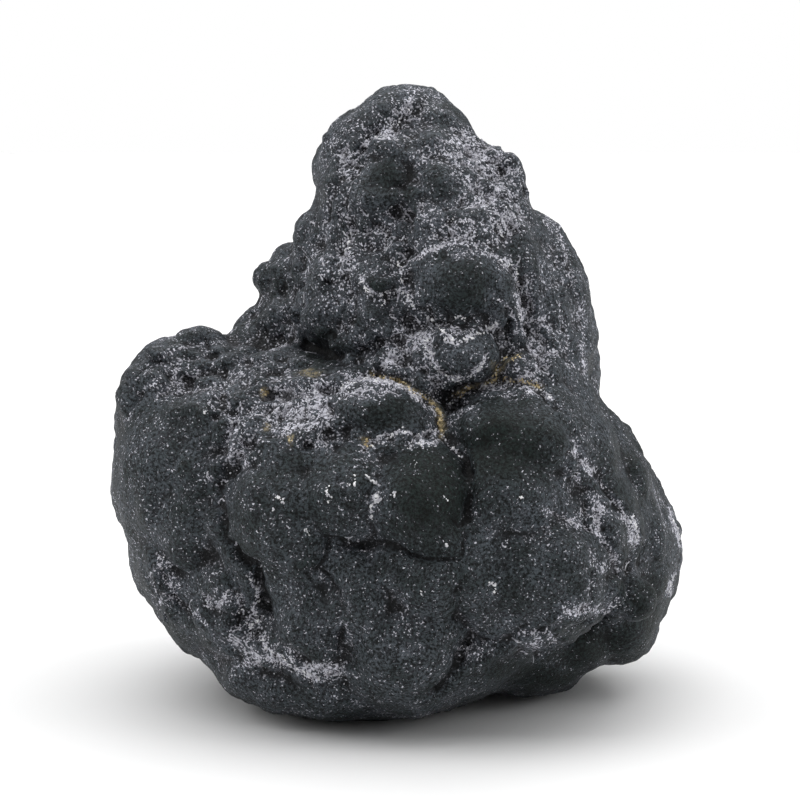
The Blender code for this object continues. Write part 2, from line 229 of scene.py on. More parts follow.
# Seams that hold clay: strength, half width, and the way each runs, across and up
CLAY_SEAMS = [
    (0.35, 0.3, [(-3.9, 48.6), (-0.7, 47.9), (2.1, 46.2), (4.2, 44.8)]),
    (0.65, 0.45, [(4.2, 44.8), (5.4, 43.6), (5.8, 42), (5.8, 40.2)]),
    (0.35, 0.3, [(7.7, 45.4), (9.8, 46.8), (13.3, 47.7), (13.7, 49.7), (15.4, 50.8), (16.7, 51.2)]),
    (0.25, 0.3, [(14.4, 47.8), (16.8, 47.8), (19.6, 46.9)]), (0.35, 0.35, [(-5.2, 39.4), (-4.4, 38.6)]),
]


print("patches:", len(FROST), "frosted,", len(ROUGH), "rough,", len(WORN_AND_SHADED), "worn,", len(OCHRE), "of clay")

# %% The strongest patch at every point
PATCH_FALL = 0.8
PATCH_EDGE = 1.5


def patches(places, seen):
    """Each patch is even in its middle and falls off softly."""
    strongest = np.zeros(len(seen))
    for across, up, half_width, half_height, strength in places:
        away = ((seen[:, 0] - across) / half_width) ** 2 + ((seen[:, 1] - up) / half_height) ** 2
        strongest = np.maximum(strongest, strength * np.exp(-PATCH_FALL * away ** PATCH_EDGE))
    return strongest


print("frost in the middle of the shelf:", patches(FROST, np.array([(-13.3, 45.8)])).round(2))

# %% [markdown]
# Between the big lobes sit knobs of two to seven millimetres, grown out of the same stone. They could
# be sculpted one by one. Here each is a flattened ball, set where the view shows it and sunk so far
# that only its cap stands proud, which keeps every one of them a row that can be moved or resized.

# %% The knobs that the view shows: across, up, half width, half height, how proud, lean in degrees
KNOBS = [
    # Crown and brow
    (-1.4, 80, 3.2, 2.2, 0.7, 20), (4.6, 80.6, 2.6, 2, 0.6, 0), (-1.6, 75.6, 4.2, 4, 0.9, 0),
    (5.6, 74.8, 2.7, 3.6, 0.9, 0), (9.5, 83.3, 0.8, 0.8, 0.7, 0), (10.8, 81.4, 1.7, 1.5, 0.7, 0),
    (15.2, 77.4, 2, 2, 0.8, 0), (16.4, 75.6, 1.4, 1.6, 0.5, 0), (8.6, 76.6, 1.6, 1.5, 0.6, 0),
    (11.2, 74, 1.8, 1.6, 0.6, 0), (13.6, 71.4, 1.6, 1.9, 0.6, 0), (10.4, 70.4, 2, 1.5, 0.6, 0),
    (-5.4, 74.4, 1.9, 2.6, 0.6, 20), (-9.2, 74.8, 1.6, 2.4, 0.6, 10),
    (0.7, 84.9, 1.5, 1.3, 0.8, 0), (-1.6, 82.9, 1.4, 1.2, 0.8, 0), (-3.9, 81, 1.5, 1.2, 0.8, 0),
    (-6.2, 78.6, 1.6, 1.4, 0.8, 0), (1.6, 86.6, 1.3, 1, 0.6, 0), (-7.6, 76.4, 1.4, 1.3, 0.7, 0),
    (-18.6, 62, 2.2, 2.6, 0.3, 0),
    # Face of the head
    (-4.4, 69.6, 1.8, 1.2, 0.8, 0), (-1.4, 70.6, 1.7, 1.2, 0.8, 0), (-7.4, 68.4, 1.5, 1.6, 0.7, 0),
    (4.4, 67.2, 3, 2, 0.7, 0), (8.6, 61.4, 6.4, 5.2, 1, 0), (-3.4, 61.2, 2.2, 2.2, 0.9, 0),
    (-5.6, 65.8, 2, 2.2, 0.7, 0), (16.9, 67.4, 1.5, 2.9, 0.6, 0), (-0.4, 65.2, 2, 2, 0.6, 0),
    (-10.2, 62.4, 2.2, 4, 0.7, 6), (-7, 57.2, 2.3, 2.5, 0.8, 0), (-0.4, 57.6, 2.2, 2.3, 0.8, 0),
    (2.2, 58.4, 1.4, 1.6, 0.6, 0), (-3.6, 56.8, 1.6, 1.6, 0.6, 0), (13.2, 57.4, 2.2, 2.6, 0.7, 0),
    # Chin and the crumbly lumps under it
    (9.2, 51.4, 4.6, 4, 0.6, 0), (7, 53.6, 2, 1.8, 0.7, 0), (11.4, 53.2, 1.8, 1.8, 0.7, 0),
    (1.9, 53.4, 1.8, 1.9, 0.9, 0), (3.2, 50.2, 1.8, 1.8, 0.8, 0),
    (3.4, 47.8, 1.6, 1.5, 0.7, 0), (-1.3, 54.3, 1.3, 1.3, 0.8, 0), (-4.2, 53.6, 1.3, 1.3, 0.8, 0),
    (-0.9, 51, 2.9, 2.3, 0.9, 0), (6.2, 47.6, 1.5, 1.2, 0.6, 0), (16.2, 56.8, 1.2, 1.5, 0.7, 0),
    (16.4, 53.8, 1.3, 1.5, 0.8, 0), (17, 48.9, 2.9, 2.7, 1, 0), (13.2, 48, 1.4, 1.1, 0.6, 0),
    (-8.2, 52.8, 1.8, 1.4, 0.6, 0), (-6.6, 50.6, 1.6, 1.2, 0.6, 0), (-10.4, 54.6, 1.5, 1.3, 0.6, 0),
    # Shelf
    (-3.4, 43.6, 6.6, 4.2, 0.8, 0), (-12.8, 46.4, 3.4, 1.8, 0.6, 0), (-8.6, 47.4, 2, 1.3, 0.5, 0),
    (-18, 50.8, 3.6, 1.1, 0.6, 0), (-23.4, 49.8, 3, 1.9, 0.6, 0), (-19, 46.4, 2.6, 1.8, 0.5, 0),
    (-22.2, 44.6, 2.4, 1.8, 0.6, 0), (-15.8, 43.6, 2.6, 1.8, 0.5, 0), (-20.8, 41, 1.6, 1.4, 0.6, 0),
    (-23.4, 41.8, 1.4, 1.4, 0.6, 0), (-22.6, 38.2, 1.4, 1.3, 0.6, 0), (-25.2, 39.4, 1.5, 1.6, 0.6, 0),
    (-14.8, 39.8, 2.4, 1.3, 0.5, 0), (-10.2, 41.2, 2, 1.6, 0.5, 0),
    (-17.4, 49.2, 2.4, 1.2, 0.9, 0), (-13.8, 49.8, 2.4, 1.2, 0.8, 0), (-21.6, 51.4, 2.2, 1.2, 0.8, 0),
    (-12.6, 44.2, 2.8, 1.5, 0.8, 0), (-17.2, 44.6, 2, 1.3, 0.8, 0), (-9.6, 44.4, 1.8, 1.4, 0.8, 0),
    (-19.6, 48.2, 1.6, 0.9, 0.7, 0), (-15.6, 47.2, 1.5, 0.8, 0.6, 0), (-11.4, 42.6, 1.8, 1, 0.6, 0),
    # Left lobe
    (-37.4, 44.8, 1.9, 2.4, 0.3, 30),
    (-28.2, 53.6, 3.6, 1.8, 0.8, 0), (-33, 50.9, 3, 1, 0.9, 28), (-29.2, 48.6, 3.6, 1.2, 0.9, 12),
    (-25.4, 51.8, 2.4, 0.9, 0.8, 0), (-36.2, 47, 2, 1, 0.8, 50), (-30.6, 51.6, 2.6, 0.8, 0.7, 15),
    (-26.8, 49.6, 2.2, 0.9, 0.8, 0), (-28.4, 43.6, 2.4, 1.3, 0.6, 0),
    (-33.8, 46.4, 2.6, 2.4, 0.5, 30), (-26.6, 46.6, 2.6, 2, 0.5, 0), (-30.2, 43, 3, 2, 0.4, 0),
    (-34.8, 30.8, 2.6, 4.4, 0.4, 0), (-29.2, 23.6, 3.4, 2.8, 0.5, 0), (-24.8, 27.6, 2.4, 2.6, 0.4, 0),
    (-31.8, 17.4, 2.4, 2.6, 0.5, 0), (-24.4, 19.8, 3, 2.2, 0.6, 0), (-26.6, 14.4, 2.4, 1.8, 0.6, 0),
    (-21.6, 12.2, 2.4, 1.6, 0.6, 0), (-23.2, 16.4, 1.6, 1.4, 0.6, 0), (-17.6, 8.4, 2.6, 1.4, 0.6, 0),
    # Front
    (-13, 35.8, 4.6, 3.2, 0.4, 0), (-19.6, 30.6, 3.6, 5, 0.4, 0), (-9, 31.6, 3.6, 3.4, 0.3, 0),
    (-0.6, 38.2, 2.4, 1.4, 0.5, 0), (3.4, 38.6, 1.6, 1.2, 0.5, 0), (-13.6, 22.4, 3.4, 3.2, 0.4, 0),
    (0.2, 20.2, 4.6, 3, 0.3, 0), (-5.8, 21.6, 2.6, 2.4, 0.3, 0), (6.4, 24.8, 2, 1.8, 0.3, 0),
    (-12.4, 17.4, 3.4, 2.6, 0.4, 0), (-14.2, 12.2, 3, 2.2, 0.5, 0), (4.6, 12.4, 3.4, 3.6, 0.3, 0),
    # Right
    (13.6, 40.2, 5.4, 4.2, 0.4, 0), (20.4, 38.2, 3.6, 4.4, 0.4, 0), (12.8, 30, 3.4, 3.2, 0.3, 0),
    (15.4, 23.4, 5, 4.6, 0.3, 0), (22.6, 22.4, 4, 4.2, 0.4, 0), (29.2, 18.2, 2.5, 2.5, 0.9, 0),
    (26.4, 31, 2.2, 3.4, 0.6, -12), (29.4, 26.2, 2, 2.8, 0.6, -12), (24, 15, 2.6, 1.6, 0.5, 0),
    (18.8, 12.6, 3.4, 1.8, 0.5, 0), (13.6, 10.4, 2.6, 1.8, 0.6, 0), (11.4, 8.8, 1.8, 1.4, 0.6, 0),
    (33, 33.4, 2.4, 4, 0.5, -14), (35.6, 25.4, 2.2, 4, 0.5, 0), (33.4, 16.8, 2.6, 3, 0.6, 10),
]
print("knobs set by hand:", len(KNOBS))

# %% Setting a knob on the stone
KNOB_RISE = 1.3


def knob_matrix(across, up, half_width, half_height, proud, lean):
    """Turns a unit ball into a knob whose cap stands proud of the stone."""
    hit, _ = on_stone(across, up)
    half_depth = max(half_width, half_height)
    middle = hit + TO_VIEWER * (KNOB_RISE * proud - half_depth)
    turn = VIEW.to_3x3().to_4x4() @ Matrix.Rotation(math.radians(lean), 4, "Y")
    return Matrix.Translation(middle) @ turn @ Matrix.Diagonal((half_width, half_depth, half_height, 1))


def points_and_triangles(mesh):
    mesh.calc_loop_triangles()
    triangles = np.empty(len(mesh.loop_triangles) * 3, int)
    mesh.loop_triangles.foreach_get("vertices", triangles)
    return points_of(mesh), triangles.reshape(-1, 3)


def unit_ball(rounds):
    bm = bmesh.new()
    bmesh.ops.create_icosphere(bm, subdivisions=rounds, radius=1)
    mesh = bpy.data.meshes.new("unit_ball")
    bm.to_mesh(mesh)
    bm.free()
    return points_and_triangles(mesh)


ROUND_BALL = unit_ball(3)
PLAIN_BALL = unit_ball(2)


def placed(shape, matrix):
    """A copy of a shape's points, moved by a matrix, with its triangles."""
    points, triangles = shape
    turn = np.array(matrix)
    return points @ turn[:3, :3].T + turn[:3, 3], triangles


heap = [points_and_triangles(smooth_solid)]
for knob in KNOBS:
    heap.append(placed(ROUND_BALL, knob_matrix(*knob)))
print("shapes in the heap:", len(heap))

# %% [markdown]
# The sides and the back don't show in the photograph. Random places would leave bare spots and crowds,
# so knobs are strewn along a golden spiral, which spreads points evenly without lining them up. A sine
# of a knob's number picks its size, so the same knobs come back on each run.

# %% Knobs strewn over the hidden sides
STREWN = 420
STREWN_RADII = (1.4, 3.6)
STREWN_PROUD = 0.28
STREWN_FACING = 0.1
LOWEST_KNOB = 2
GOLDEN_ANGLE = math.pi * (3 - math.sqrt(5))
MIDDLE = Vector((0, 0, 38))
FAR = 90

strewn = 0
for i in range(STREWN):
    height = 1 - 2 * (i + 0.5) / STREWN
    ring = math.sqrt(1 - height * height)
    ray = Vector((ring * math.cos(i * GOLDEN_ANGLE), ring * math.sin(i * GOLDEN_ANGLE), height))
    hit, normal, _, _ = solid_tree.ray_cast(MIDDLE + ray * FAR, -ray)
    if normal.dot(TO_VIEWER) > STREWN_FACING or hit.z < LOWEST_KNOB:
        continue
    low, high = STREWN_RADII
    radius = low + (high - low) * (0.5 + 0.5 * math.sin(9.1 * i)) ** 2
    # The outline of the view is known, so knobs on it stand less proud
    proud = STREWN_PROUD * min(1, 0.3 + 2 * abs(normal.dot(TO_VIEWER)))
    middle = hit + normal * (proud * radius ** 0.5 - radius)
    heap.append(placed(ROUND_BALL, Matrix.Translation(middle) @ Matrix.Scale(radius, 4)))
    strewn += 1
print("knobs strewn:", strewn)

# %% [markdown]
# The rough parts of the front are grown over with crumbs of one to three millimetres, far too many to
# place by hand. A grid over the view is shaken, and a crumb is kept where a random number falls under
# the roughness there. A fixed seed makes every run the same.

# %% Crumbs strewn over the rough parts of the front
CRUMB_SPACING = 1.3
CRUMB_RADII = (0.6, 1.5)
CRUMB_PROUD = (0.4, 0.7)
LOWEST_CRUMB = 1.5
GRID_ACROSS = (-42, 42)
GRID_UP = (2, 88)
rng = np.random.default_rng(12)


def crumb_places():
    grid = np.mgrid[slice(*GRID_ACROSS, CRUMB_SPACING), slice(*GRID_UP, CRUMB_SPACING)]
    grid = grid.reshape(2, -1).T
    grid = grid + rng.uniform(-0.5, 0.5, grid.shape) * CRUMB_SPACING
    keep = rng.uniform(0, 1, len(grid)) < patches(ROUGH, grid) * (1 - 0.8 * patches(WORN_AND_SHADED, grid))
    return grid[keep]


crumbs_grown = 0
for across, up in crumb_places():
    hit, normal = on_stone(across, up)
    if hit is None or hit.z < LOWEST_CRUMB:
        continue
    radius = rng.uniform(*CRUMB_RADII)
    middle = hit + normal * (rng.uniform(*CRUMB_PROUD) * radius - radius)
    heap.append(placed(PLAIN_BALL, Matrix.Translation(middle) @ Matrix.Scale(radius, 4)))
    crumbs_grown += 1
print("crumbs strewn on the front:", crumbs_grown)

# %% [markdown]
# Knobs that only overlapped would cut each other with knife-sharp lines. A boolean union would keep
# those lines too. A voxel remesh grows the whole heap into one closed skin, and a little smoothing
# leaves the tight but rounded creases that a grown nodule has.

# %% Growing it all into one skin
VOXEL = 0.36
EASE = 0.5
EASE_ROUNDS = 3


def joined(shapes):
    """One mesh of many shapes, which needn't touch."""
    points, triangles, count = [], [], 0
    for co, faces in shapes:
        points.append(co)
        triangles.append(faces + count)
        count += len(co)
    mesh = bpy.data.meshes.new("heap")
    mesh.from_pydata(np.concatenate(points).tolist(), [], np.concatenate(triangles).tolist())
    return mesh


def one_skin(mesh, voxel):
    obj = link(bpy.data.objects.new("heap", mesh))
    grow = obj.modifiers.new("grow_together", "REMESH")
    grow.mode = "VOXEL"
    grow.voxel_size = voxel
    ease = obj.modifiers.new("ease_creases", "SMOOTH")
    ease.factor = EASE
    ease.iterations = EASE_ROUNDS
    skin = evaluated_mesh(obj)
    bpy.data.objects.remove(obj)
    return skin


skin = one_skin(joined(heap), VOXEL)
print("skin:", len(skin.vertices), "vertices after", round(time.time() - started), "s")

# %% [markdown]
# Cracks and creases are grooves along lines that the view shows. Cutting them with a knife-like solid
# would leave walls of equal depth. Here each point of the skin is lowered by how near it lies to a
# line, and a groove with such soft sides looks grown.

# %% The creases: depth, half width, and the way each runs, across and up
CREASES = [
    # Between the left lobe and the front
    (1.5, 0.6, [(-21, 39.5), (-22.9, 36), (-24.6, 33.2), (-25.1, 29), (-24.2, 25.4), (-22.4, 22.8)]),
    (1.5, 0.6, [(-22.4, 22.8), (-20, 21.9), (-19.5, 18.5), (-18.8, 15.7)]),
    (0.7, 0.45, [(-18.8, 15.7), (-17, 12.4), (-14, 8.7), (-11.2, 6.6)]),
    # Under the crest
    (0.4, 0.5, [(2.5, 86.4), (1.2, 84.6), (-1.1, 84), (-3.2, 81.6), (-5.3, 79.4), (-8.4, 76.4)]),
    (0.7, 0.4, [(-8.4, 76.4), (-9.6, 73.2), (-10.6, 70)]),
    # Brow
    (0.8, 0.4, [(-0.6, 75), (1, 74.6), (2.4, 75.2), (4, 76.2)]),
    (0.3, 0.45, [(-6.6, 68.2), (-3.6, 69.4), (-1.2, 70.4), (0.9, 71.6), (2.6, 73.4)]),
    (0.5, 0.4, [(2.6, 73.4), (3.2, 70.8), (6.2, 69.8), (9, 71.2)]),
    (0.5, 0.4, [(3, 78.4), (5.6, 78.8), (8, 78), (9.4, 75.6)]),
    # The fissure on the right of the head
    (0.8, 0.42, [(17.1, 63.6), (16.8, 61.2), (17.5, 59.1), (18.2, 57), (17.9, 54.9), (16.9, 53)]),
    (1.2, 0.42, [(16.9, 53), (18, 51.4), (19.4, 50), (20.8, 48.4)]),
    (0.8, 0.4, [(15.2, 58), (15, 55.4), (15.1, 53.2)]),
    # Left of the head and the hollow under it
    (1.2, 0.6, [(-13.3, 64.8), (-13.9, 61.9), (-15.2, 60), (-14.4, 56)]),
    (0.9, 0.45, [(-7.6, 62.4), (-7, 59.6), (-8.8, 56.4), (-9.6, 53.6)]),
    (0.7, 0.4, [(-1.2, 63.8), (-1, 60.8), (0.6, 58.2), (2, 55.8)]),
    (0.5, 0.7, [(-12.8, 52.2), (-11.9, 52)]),
    # Waist seams and the pit where they meet
    (0.9, 0.4, [(-3.9, 48.9), (-0.7, 47.9), (2.1, 46.2), (4.2, 44.8), (5.6, 43), (5.8, 40.2)]),
    (0.9, 0.4, [(7.7, 45.4), (9.8, 46.8), (13.3, 47.8), (16.8, 47.7), (19.6, 46.4), (22, 44)]),
    (1.6, 0.8, [(6.8, 45.9), (7.5, 45.2)]),
    (0.7, 0.4, [(-5, 51.8), (-2.6, 53), (-0.2, 53.4), (0.6, 51.8), (1.8, 49.8), (3.4, 49)]),
    (0.8, 0.4, [(3.4, 49), (5.6, 47), (6.8, 45.9)]),
    # Shelf
    (0.6, 0.4, [(-22.4, 47.2), (-20.3, 47.6), (-18, 45.8), (-13.3, 46.8), (-10, 48.2)]),
    (0.5, 0.4, [(-26.2, 51.8), (-24.4, 48.6), (-25.2, 45.2), (-23.8, 42.6)]),
    (0.5, 0.4, [(-19.2, 43.2), (-17.2, 44.8), (-16.6, 42.4), (-12.8, 42.8)]),
    (0.7, 0.45, [(-27.3, 54.4), (-26.8, 52.8), (-25.6, 51.4)]),
    # Round the middle lobe of the front
    (0.7, 0.4, [(-9.6, 38.4), (-7.2, 39), (-3.9, 39.6), (-2.1, 40.3), (0, 40.9), (2, 40.2)]),
    (0.7, 0.4, [(2, 40.2), (3.1, 39.4), (4.9, 41.2), (6.3, 39.9), (7.8, 38.1), (9, 36.8)]),
    (0.9, 0.5, [(9, 36.8), (9.9, 34), (9.9, 30), (9.6, 28.4), (8.4, 27.6), (6.4, 28.8)]),
    (0.3, 0.4, [(-3, 34.6), (-4.6, 31.1), (-4.9, 28.3), (-3.5, 26.2)]),
    (0.8, 0.38, [(-10.4, 26), (-7.1, 24.9), (-4.9, 24.9), (-2, 25.1), (1.3, 23.6), (3.5, 23), (8.4, 22.4)]),
    (0.8, 0.45, [(-9.8, 25.5), (-10.4, 23.2), (-11.4, 21.5), (-13.8, 20.6)]),
    (0.8, 0.45, [(-11.4, 21.5), (-9.8, 20.3), (-9.1, 18.5), (-8, 16), (-8.3, 13), (-8.2, 10.1)]),
    # Between the two lowest lobes
    (0.5, 0.4, [(9.4, 27.2), (8.6, 24), (8.6, 20.6), (7.9, 17.2), (8.1, 14.6)]),
    (0.6, 0.6, [(8.1, 14.6), (9.8, 12.8), (11.2, 11.7)]),
    (1.5, 0.6, [(9.8, 12.2), (9.3, 10.1), (7.9, 7.3), (5.8, 4.7), (3.4, 3.4)]),
    (0.6, 0.45, [(11.2, 11.7), (15, 11.6), (18.4, 14), (22, 15.4)]),
    # Right: the ledge where the side falls back, and the small lobe on it
    (1, 0.55, [(24, 37.6), (27.3, 34.8), (30.2, 31), (32.4, 28.4), (33.2, 25.6), (33.4, 22)]),
    (1.8, 0.8, [(33.6, 24.6), (32.6, 21), (31.6, 17.6), (28.2, 14.4), (24, 12), (19.4, 9.2)]),
    (0.7, 0.4, [(27.2, 21), (26.8, 18.2), (27.8, 16.2)]),
    (0.5, 0.4, [(26, 27.6), (28.2, 25.2), (31.4, 21.8)]),
    (0.4, 0.5, [(20.5, 45), (24, 40), (26, 35.6)]),
]
print("creases:", len(CREASES))

# %% [markdown]
# Many lobes carry a fine pale line of frost along their upper lip. On the stone it is a shallow step
# where the crust begins, so the same lines that are frosted are pressed in a little here. The lines on
# the far right edge are a painted highlight: they paint the sheen that the edge catches.

# %% Frosted lips and the painted edge sheen: strength, half width, and the way each runs, across and up
RIMS_AND_EDGE_SHEEN = [
    # On top of the middle lobe, the right lobe and the lump on the shelf
    (1, 0.5, [
        (-5.2, 38.1), (-3.5, 38.9), (-1.4, 40), (0, 40.6), (2.5, 39.9), (3.9, 40.7), (5.2, 40.7),
    ]),
    (0.9, 0.4, [(5.2, 40.7), (6.2, 39.9), (7.3, 38.5), (8.4, 37)]),
    (0.9, 0.5, [(1.4, 38.6), (2.8, 39.1), (4.2, 38.8), (5.3, 39.5)]),
    (1, 0.6, [
        (6.7, 44), (7.7, 45.4), (9.1, 46.2), (11.2, 47), (14, 47.3), (16.8, 47.3), (21.3, 45.4),
    ]),
    (1, 0.7, [(-8.4, 46.2), (-6.3, 47.9), (-3.9, 48.2), (-1.4, 47.6), (1.4, 46.2), (3.5, 44.8), (5, 43)]),
    # Chin
    (1, 0.5, [
        (3.5, 54.2), (4.2, 52.1), (4.5, 50.4), (6.3, 48.6), (8.7, 47.9), (10.9, 49), (12.2, 51.4),
    ]),
    (0.9, 0.4, [(5.9, 54.2), (7.7, 53.2), (9.8, 53.8), (11.5, 54.6), (13.6, 55.6)]),
    (0.8, 0.4, [(4.2, 56.6), (6.3, 55.6), (8.1, 54.2)]),
    # Face
    (0.9, 0.4, [(-5.3, 62.2), (-4.8, 60.5), (-3.1, 59.6), (-1.4, 60.2), (-0.8, 61.6)]),
    (0.9, 0.4, [(-0.3, 64.4), (0.3, 61.9), (1.1, 59.4), (2.1, 57.7)]),
    (0.9, 0.5, [(14, 64.4), (16.1, 63.3), (16.4, 60.5), (16.9, 56.3), (17.6, 54.2)]),
    (0.8, 0.4, [(14, 59.1), (15.4, 57.7), (16.3, 54.9), (15.4, 53.2)]),
    (0.8, 0.6, [(7.8, 65), (9.8, 65.8), (12.6, 65.4), (15.4, 64.4)]),
    (0.8, 0.6, [(1.4, 64.4), (4.2, 66.1), (7, 66.8), (9.8, 67.8)]),
    # Crown
    (0.9, 0.5, [(-3.5, 81.5), (-1.4, 82.9), (0, 84.3), (1.1, 86), (1.7, 87.4)]),
    (0.8, 0.6, [(-7.7, 78), (-5.9, 80.1), (-3.9, 81.8)]),
    (0.7, 0.5, [(2.8, 78.7), (5.6, 79.4), (7.7, 78.7), (9.1, 75.9), (8.8, 73.1)]),
    (0.7, 0.4, [(-0.3, 74.5), (0.7, 72.4), (-0.7, 70)]),
    # Streaks down the sides of the head
    (0.7, 0.5, [(21.7, 69.6), (23.1, 66.1), (24.1, 61.9), (24.9, 57.7), (25.5, 52.8), (25.9, 48.6)]),
    (0.7, 0.5, [(22.4, 59.1), (23.2, 54.9), (23.5, 50)]),
    (0.7, 0.4, [(20.3, 71), (21.3, 67.5), (21.8, 63.3)]),
    (0.6, 0.5, [(-9.1, 74.5), (-10.5, 71), (-10.9, 66.1), (-10.5, 61.9)]),
    (0.6, 0.5, [(-7.7, 73.1), (-8.7, 68.9), (-7.7, 64)]),
    (1, 0.5, [(-6.7, 68.6), (-7.3, 66.6), (-7.9, 65)]),
    # Folds along the top of the left lobe, and down its side
    (0.7, 0.4, [(-37.8, 42.3), (-36.4, 45.8), (-33.6, 48.6), (-30.1, 50.4), (-25.9, 51)]),
    (0.7, 0.4, [(-34.3, 45.1), (-31.5, 46.1), (-28, 46.2), (-25.2, 45.6)]),
    (0.6, 0.4, [(-36.4, 47.9), (-34.3, 50.4), (-30.8, 52.1), (-27.3, 52.8)]),
    (0.8, 0.6, [(-24.5, 43.7), (-23.1, 40.9), (-23.5, 38.1), (-24.1, 36)]),
    (0.8, 0.5, [(-34.3, 23.4), (-32.9, 19.9), (-30.8, 17.1), (-27.3, 13.6)]),
    (0.9, 0.6, [(-21, 20.6), (-19.9, 18.5), (-20.3, 15.7), (-19.3, 12.9)]),
    (0.9, 0.7, [(-22.4, 15.7), (-19.3, 11.5), (-15.4, 7.6), (-11.2, 5.9)]),
    # Right side; the first two lines, on the outer edge, paint the sheen that the edge catches
    (1, 0.5, [(37.6, 30), (38.5, 27.4), (39.2, 24.8)]), (0.9, 0.4, [(38.4, 20.8), (37.5, 17.8)]),
    (1, 0.4, [(32.5, 28.6), (33.1, 27), (33.4, 25)]),
    (0.8, 0.6, [(24.5, 37.4), (26.6, 35.3), (28.7, 32.5), (30.5, 30.4), (32.2, 26.9), (33, 24.8)]),
    (0.8, 0.6, [(20.3, 29.7), (23.1, 28.3), (25.5, 27.2), (28, 26.2), (29.7, 23.8), (30.8, 20.6)]),
    (0.7, 0.6, [(24.5, 33.5), (27.3, 31), (28, 28.4)]),
    (0.8, 0.6, [(22.4, 14.3), (25.2, 15.7), (28.7, 15.4), (30.8, 17.1)]),
    (0.7, 0.5, [(16.8, 12.2), (20.3, 12.6), (22.4, 13.6)]),
]
print("frosted lips:", len(RIMS_AND_EDGE_SHEEN))

# %% Pits: across, up, radius, depth
PITS = [
    (-12.3, 52.1, 1.5, 0.4), (-19.2, 16.6, 1.2, 0.6), (-10.3, 61.6, 0.5, 0.8), (1.8, 74.9, 0.6, 0.9),
    (31.9, 21.6, 0.6, 1), (8.2, 14.7, 0.9, 0.4), (11, 11.6, 0.9, 0.4), (17.3, 60.2, 0.5, 0.9),
    (-25.6, 42.6, 0.6, 0.8), (-24, 41, 0.4, 0.7), (8.9, 27.9, 0.6, 0.6), (10.6, 75.6, 0.5, 0.8),
    (12.8, 78.2, 0.4, 0.7), (14.6, 73.2, 0.5, 0.8), (24.6, 40.4, 0.4, 0.5), (-29.6, 40.6, 0.5, 0.4),
]
print("pits:", len(PITS))

# %% Where the outline is a little leaner or fuller than the solid's: across, up, radius, depth
DENTS = [
    (39.5, 33, 4, 1.5), (19, 74.6, 2.6, 1.2), (-22.2, 58.4, 2.8, 1.3), (-13.4, 73, 2, 1.2),
    (12, 83, 2.2, 1.2), (-38.2, 48.2, 3.6, -1.1), (-16.4, 66.6, 2.2, -1), (27.4, 53.5, 3, -0.8),
]
print("dents:", sum(dent[3] > 0 for dent in DENTS), "and swellings:", sum(dent[3] < 0 for dent in DENTS))

# %% How far all of these lower the skin
CREASE_SHARE = 0.72
RIM_DEPTH = 0.3
PIT_EDGE = 4


def distance_to(way, seen):
    """How far every point is from a line of several straight parts."""
    nearest = np.full(len(seen), np.inf)
    for start, end in zip(way, way[1:]):
        start, end = np.array(start, float), np.array(end, float)
        run = end - start
        along = np.clip((seen - start) @ run / (run @ run), 0, 1)
        nearest = np.minimum(nearest, np.linalg.norm(seen - start - along[:, None] * run, axis=1))
    return nearest


def lines(table, seen):
    """The strongest line at every point, each falling off to its sides."""
    strongest = np.zeros(len(seen))
    for strength, half_width, way in table:
        away = distance_to(way, seen)
        strongest = np.maximum(strongest, strength * np.exp(-(away / half_width) ** 2))
    return strongest


def dented(seen):
    """How far every point is lowered, or raised, so that the outline follows the photograph's."""
    lowered = np.zeros(len(seen))
    for across, up, radius, depth in DENTS:
        away = np.hypot(seen[:, 0] - across, seen[:, 1] - up)
        lowered += depth * np.exp(-(away / radius) ** 2)
    return lowered


def groove_depths(seen):
    """How far every point is lowered by creases, frosted lips and pits."""
    lowered = np.maximum(CREASE_SHARE * lines(CREASES, seen), RIM_DEPTH * lines(RIMS_AND_EDGE_SHEEN, seen))
    for across, up, radius, depth in PITS:
        away = np.hypot(seen[:, 0] - across, seen[:, 1] - up)
        lowered = np.maximum(lowered, depth * np.exp(-(away / radius) ** PIT_EDGE))
    return lowered


deepest = max(CREASE_SHARE * depth for depth, _, _ in CREASES)
print("the deepest crease goes in by", round(deepest, 2), "mm")

# %% [markdown]
# The surface itself is of two kinds. Worn faces are nearly smooth. Rough ones are like cauliflower:
# round crumbs of one to five millimetres with sharp valleys. A displacement texture could raise them,
# but plain noise has no sharp valleys. The distance to the nearest of many scattered points has.

# %% Working the skin
# Size and height of the crumbs, and of the slow unevenness under them
CRUMBS = [(4.6, 1.25), (2.4, 0.75), (1.2, 0.36)]
UNEVEN = [(7.0, 0.35), (2.4, 0.16), (0.9, 0.07)]
CRUMB_REACH = 1.35
LEAST_ROUGH = 0.10


def crumbs(co, size):
    """Round tops and sharp valleys: 1 over a scattered point, 0 in the valley between two."""
    heights = np.empty(len(co))
    for i, p in enumerate(co):
        nearest = noise.voronoi(Vector(p) / size)[0][0]
        heights[i] = 1 - min(1, nearest * CRUMB_REACH) ** 2
    return heights


def roughness_field(co, normals, seen):
    patch = patches(ROUGH, seen) * facing(normals)
    worn_and_shaded = patches(WORN_AND_SHADED, seen) * facing(normals)
    hidden = (1 - facing(normals)) * (0.5 + 0.5 * slow_noise(co, 14, 3))
    return np.clip(np.maximum(patch, 0.5 * hidden) * (1 - 0.85 * worn_and_shaded) + LEAST_ROUGH, 0, 1)


print("crumb sizes in mm:", [size for size, _ in CRUMBS])

# %% Every point of the skin moved along its normal
WOBBLE, WOBBLE_WAVE = 0.55, 2.2
FLAT_TO, FLAT_FADE = 0.2, 1.5


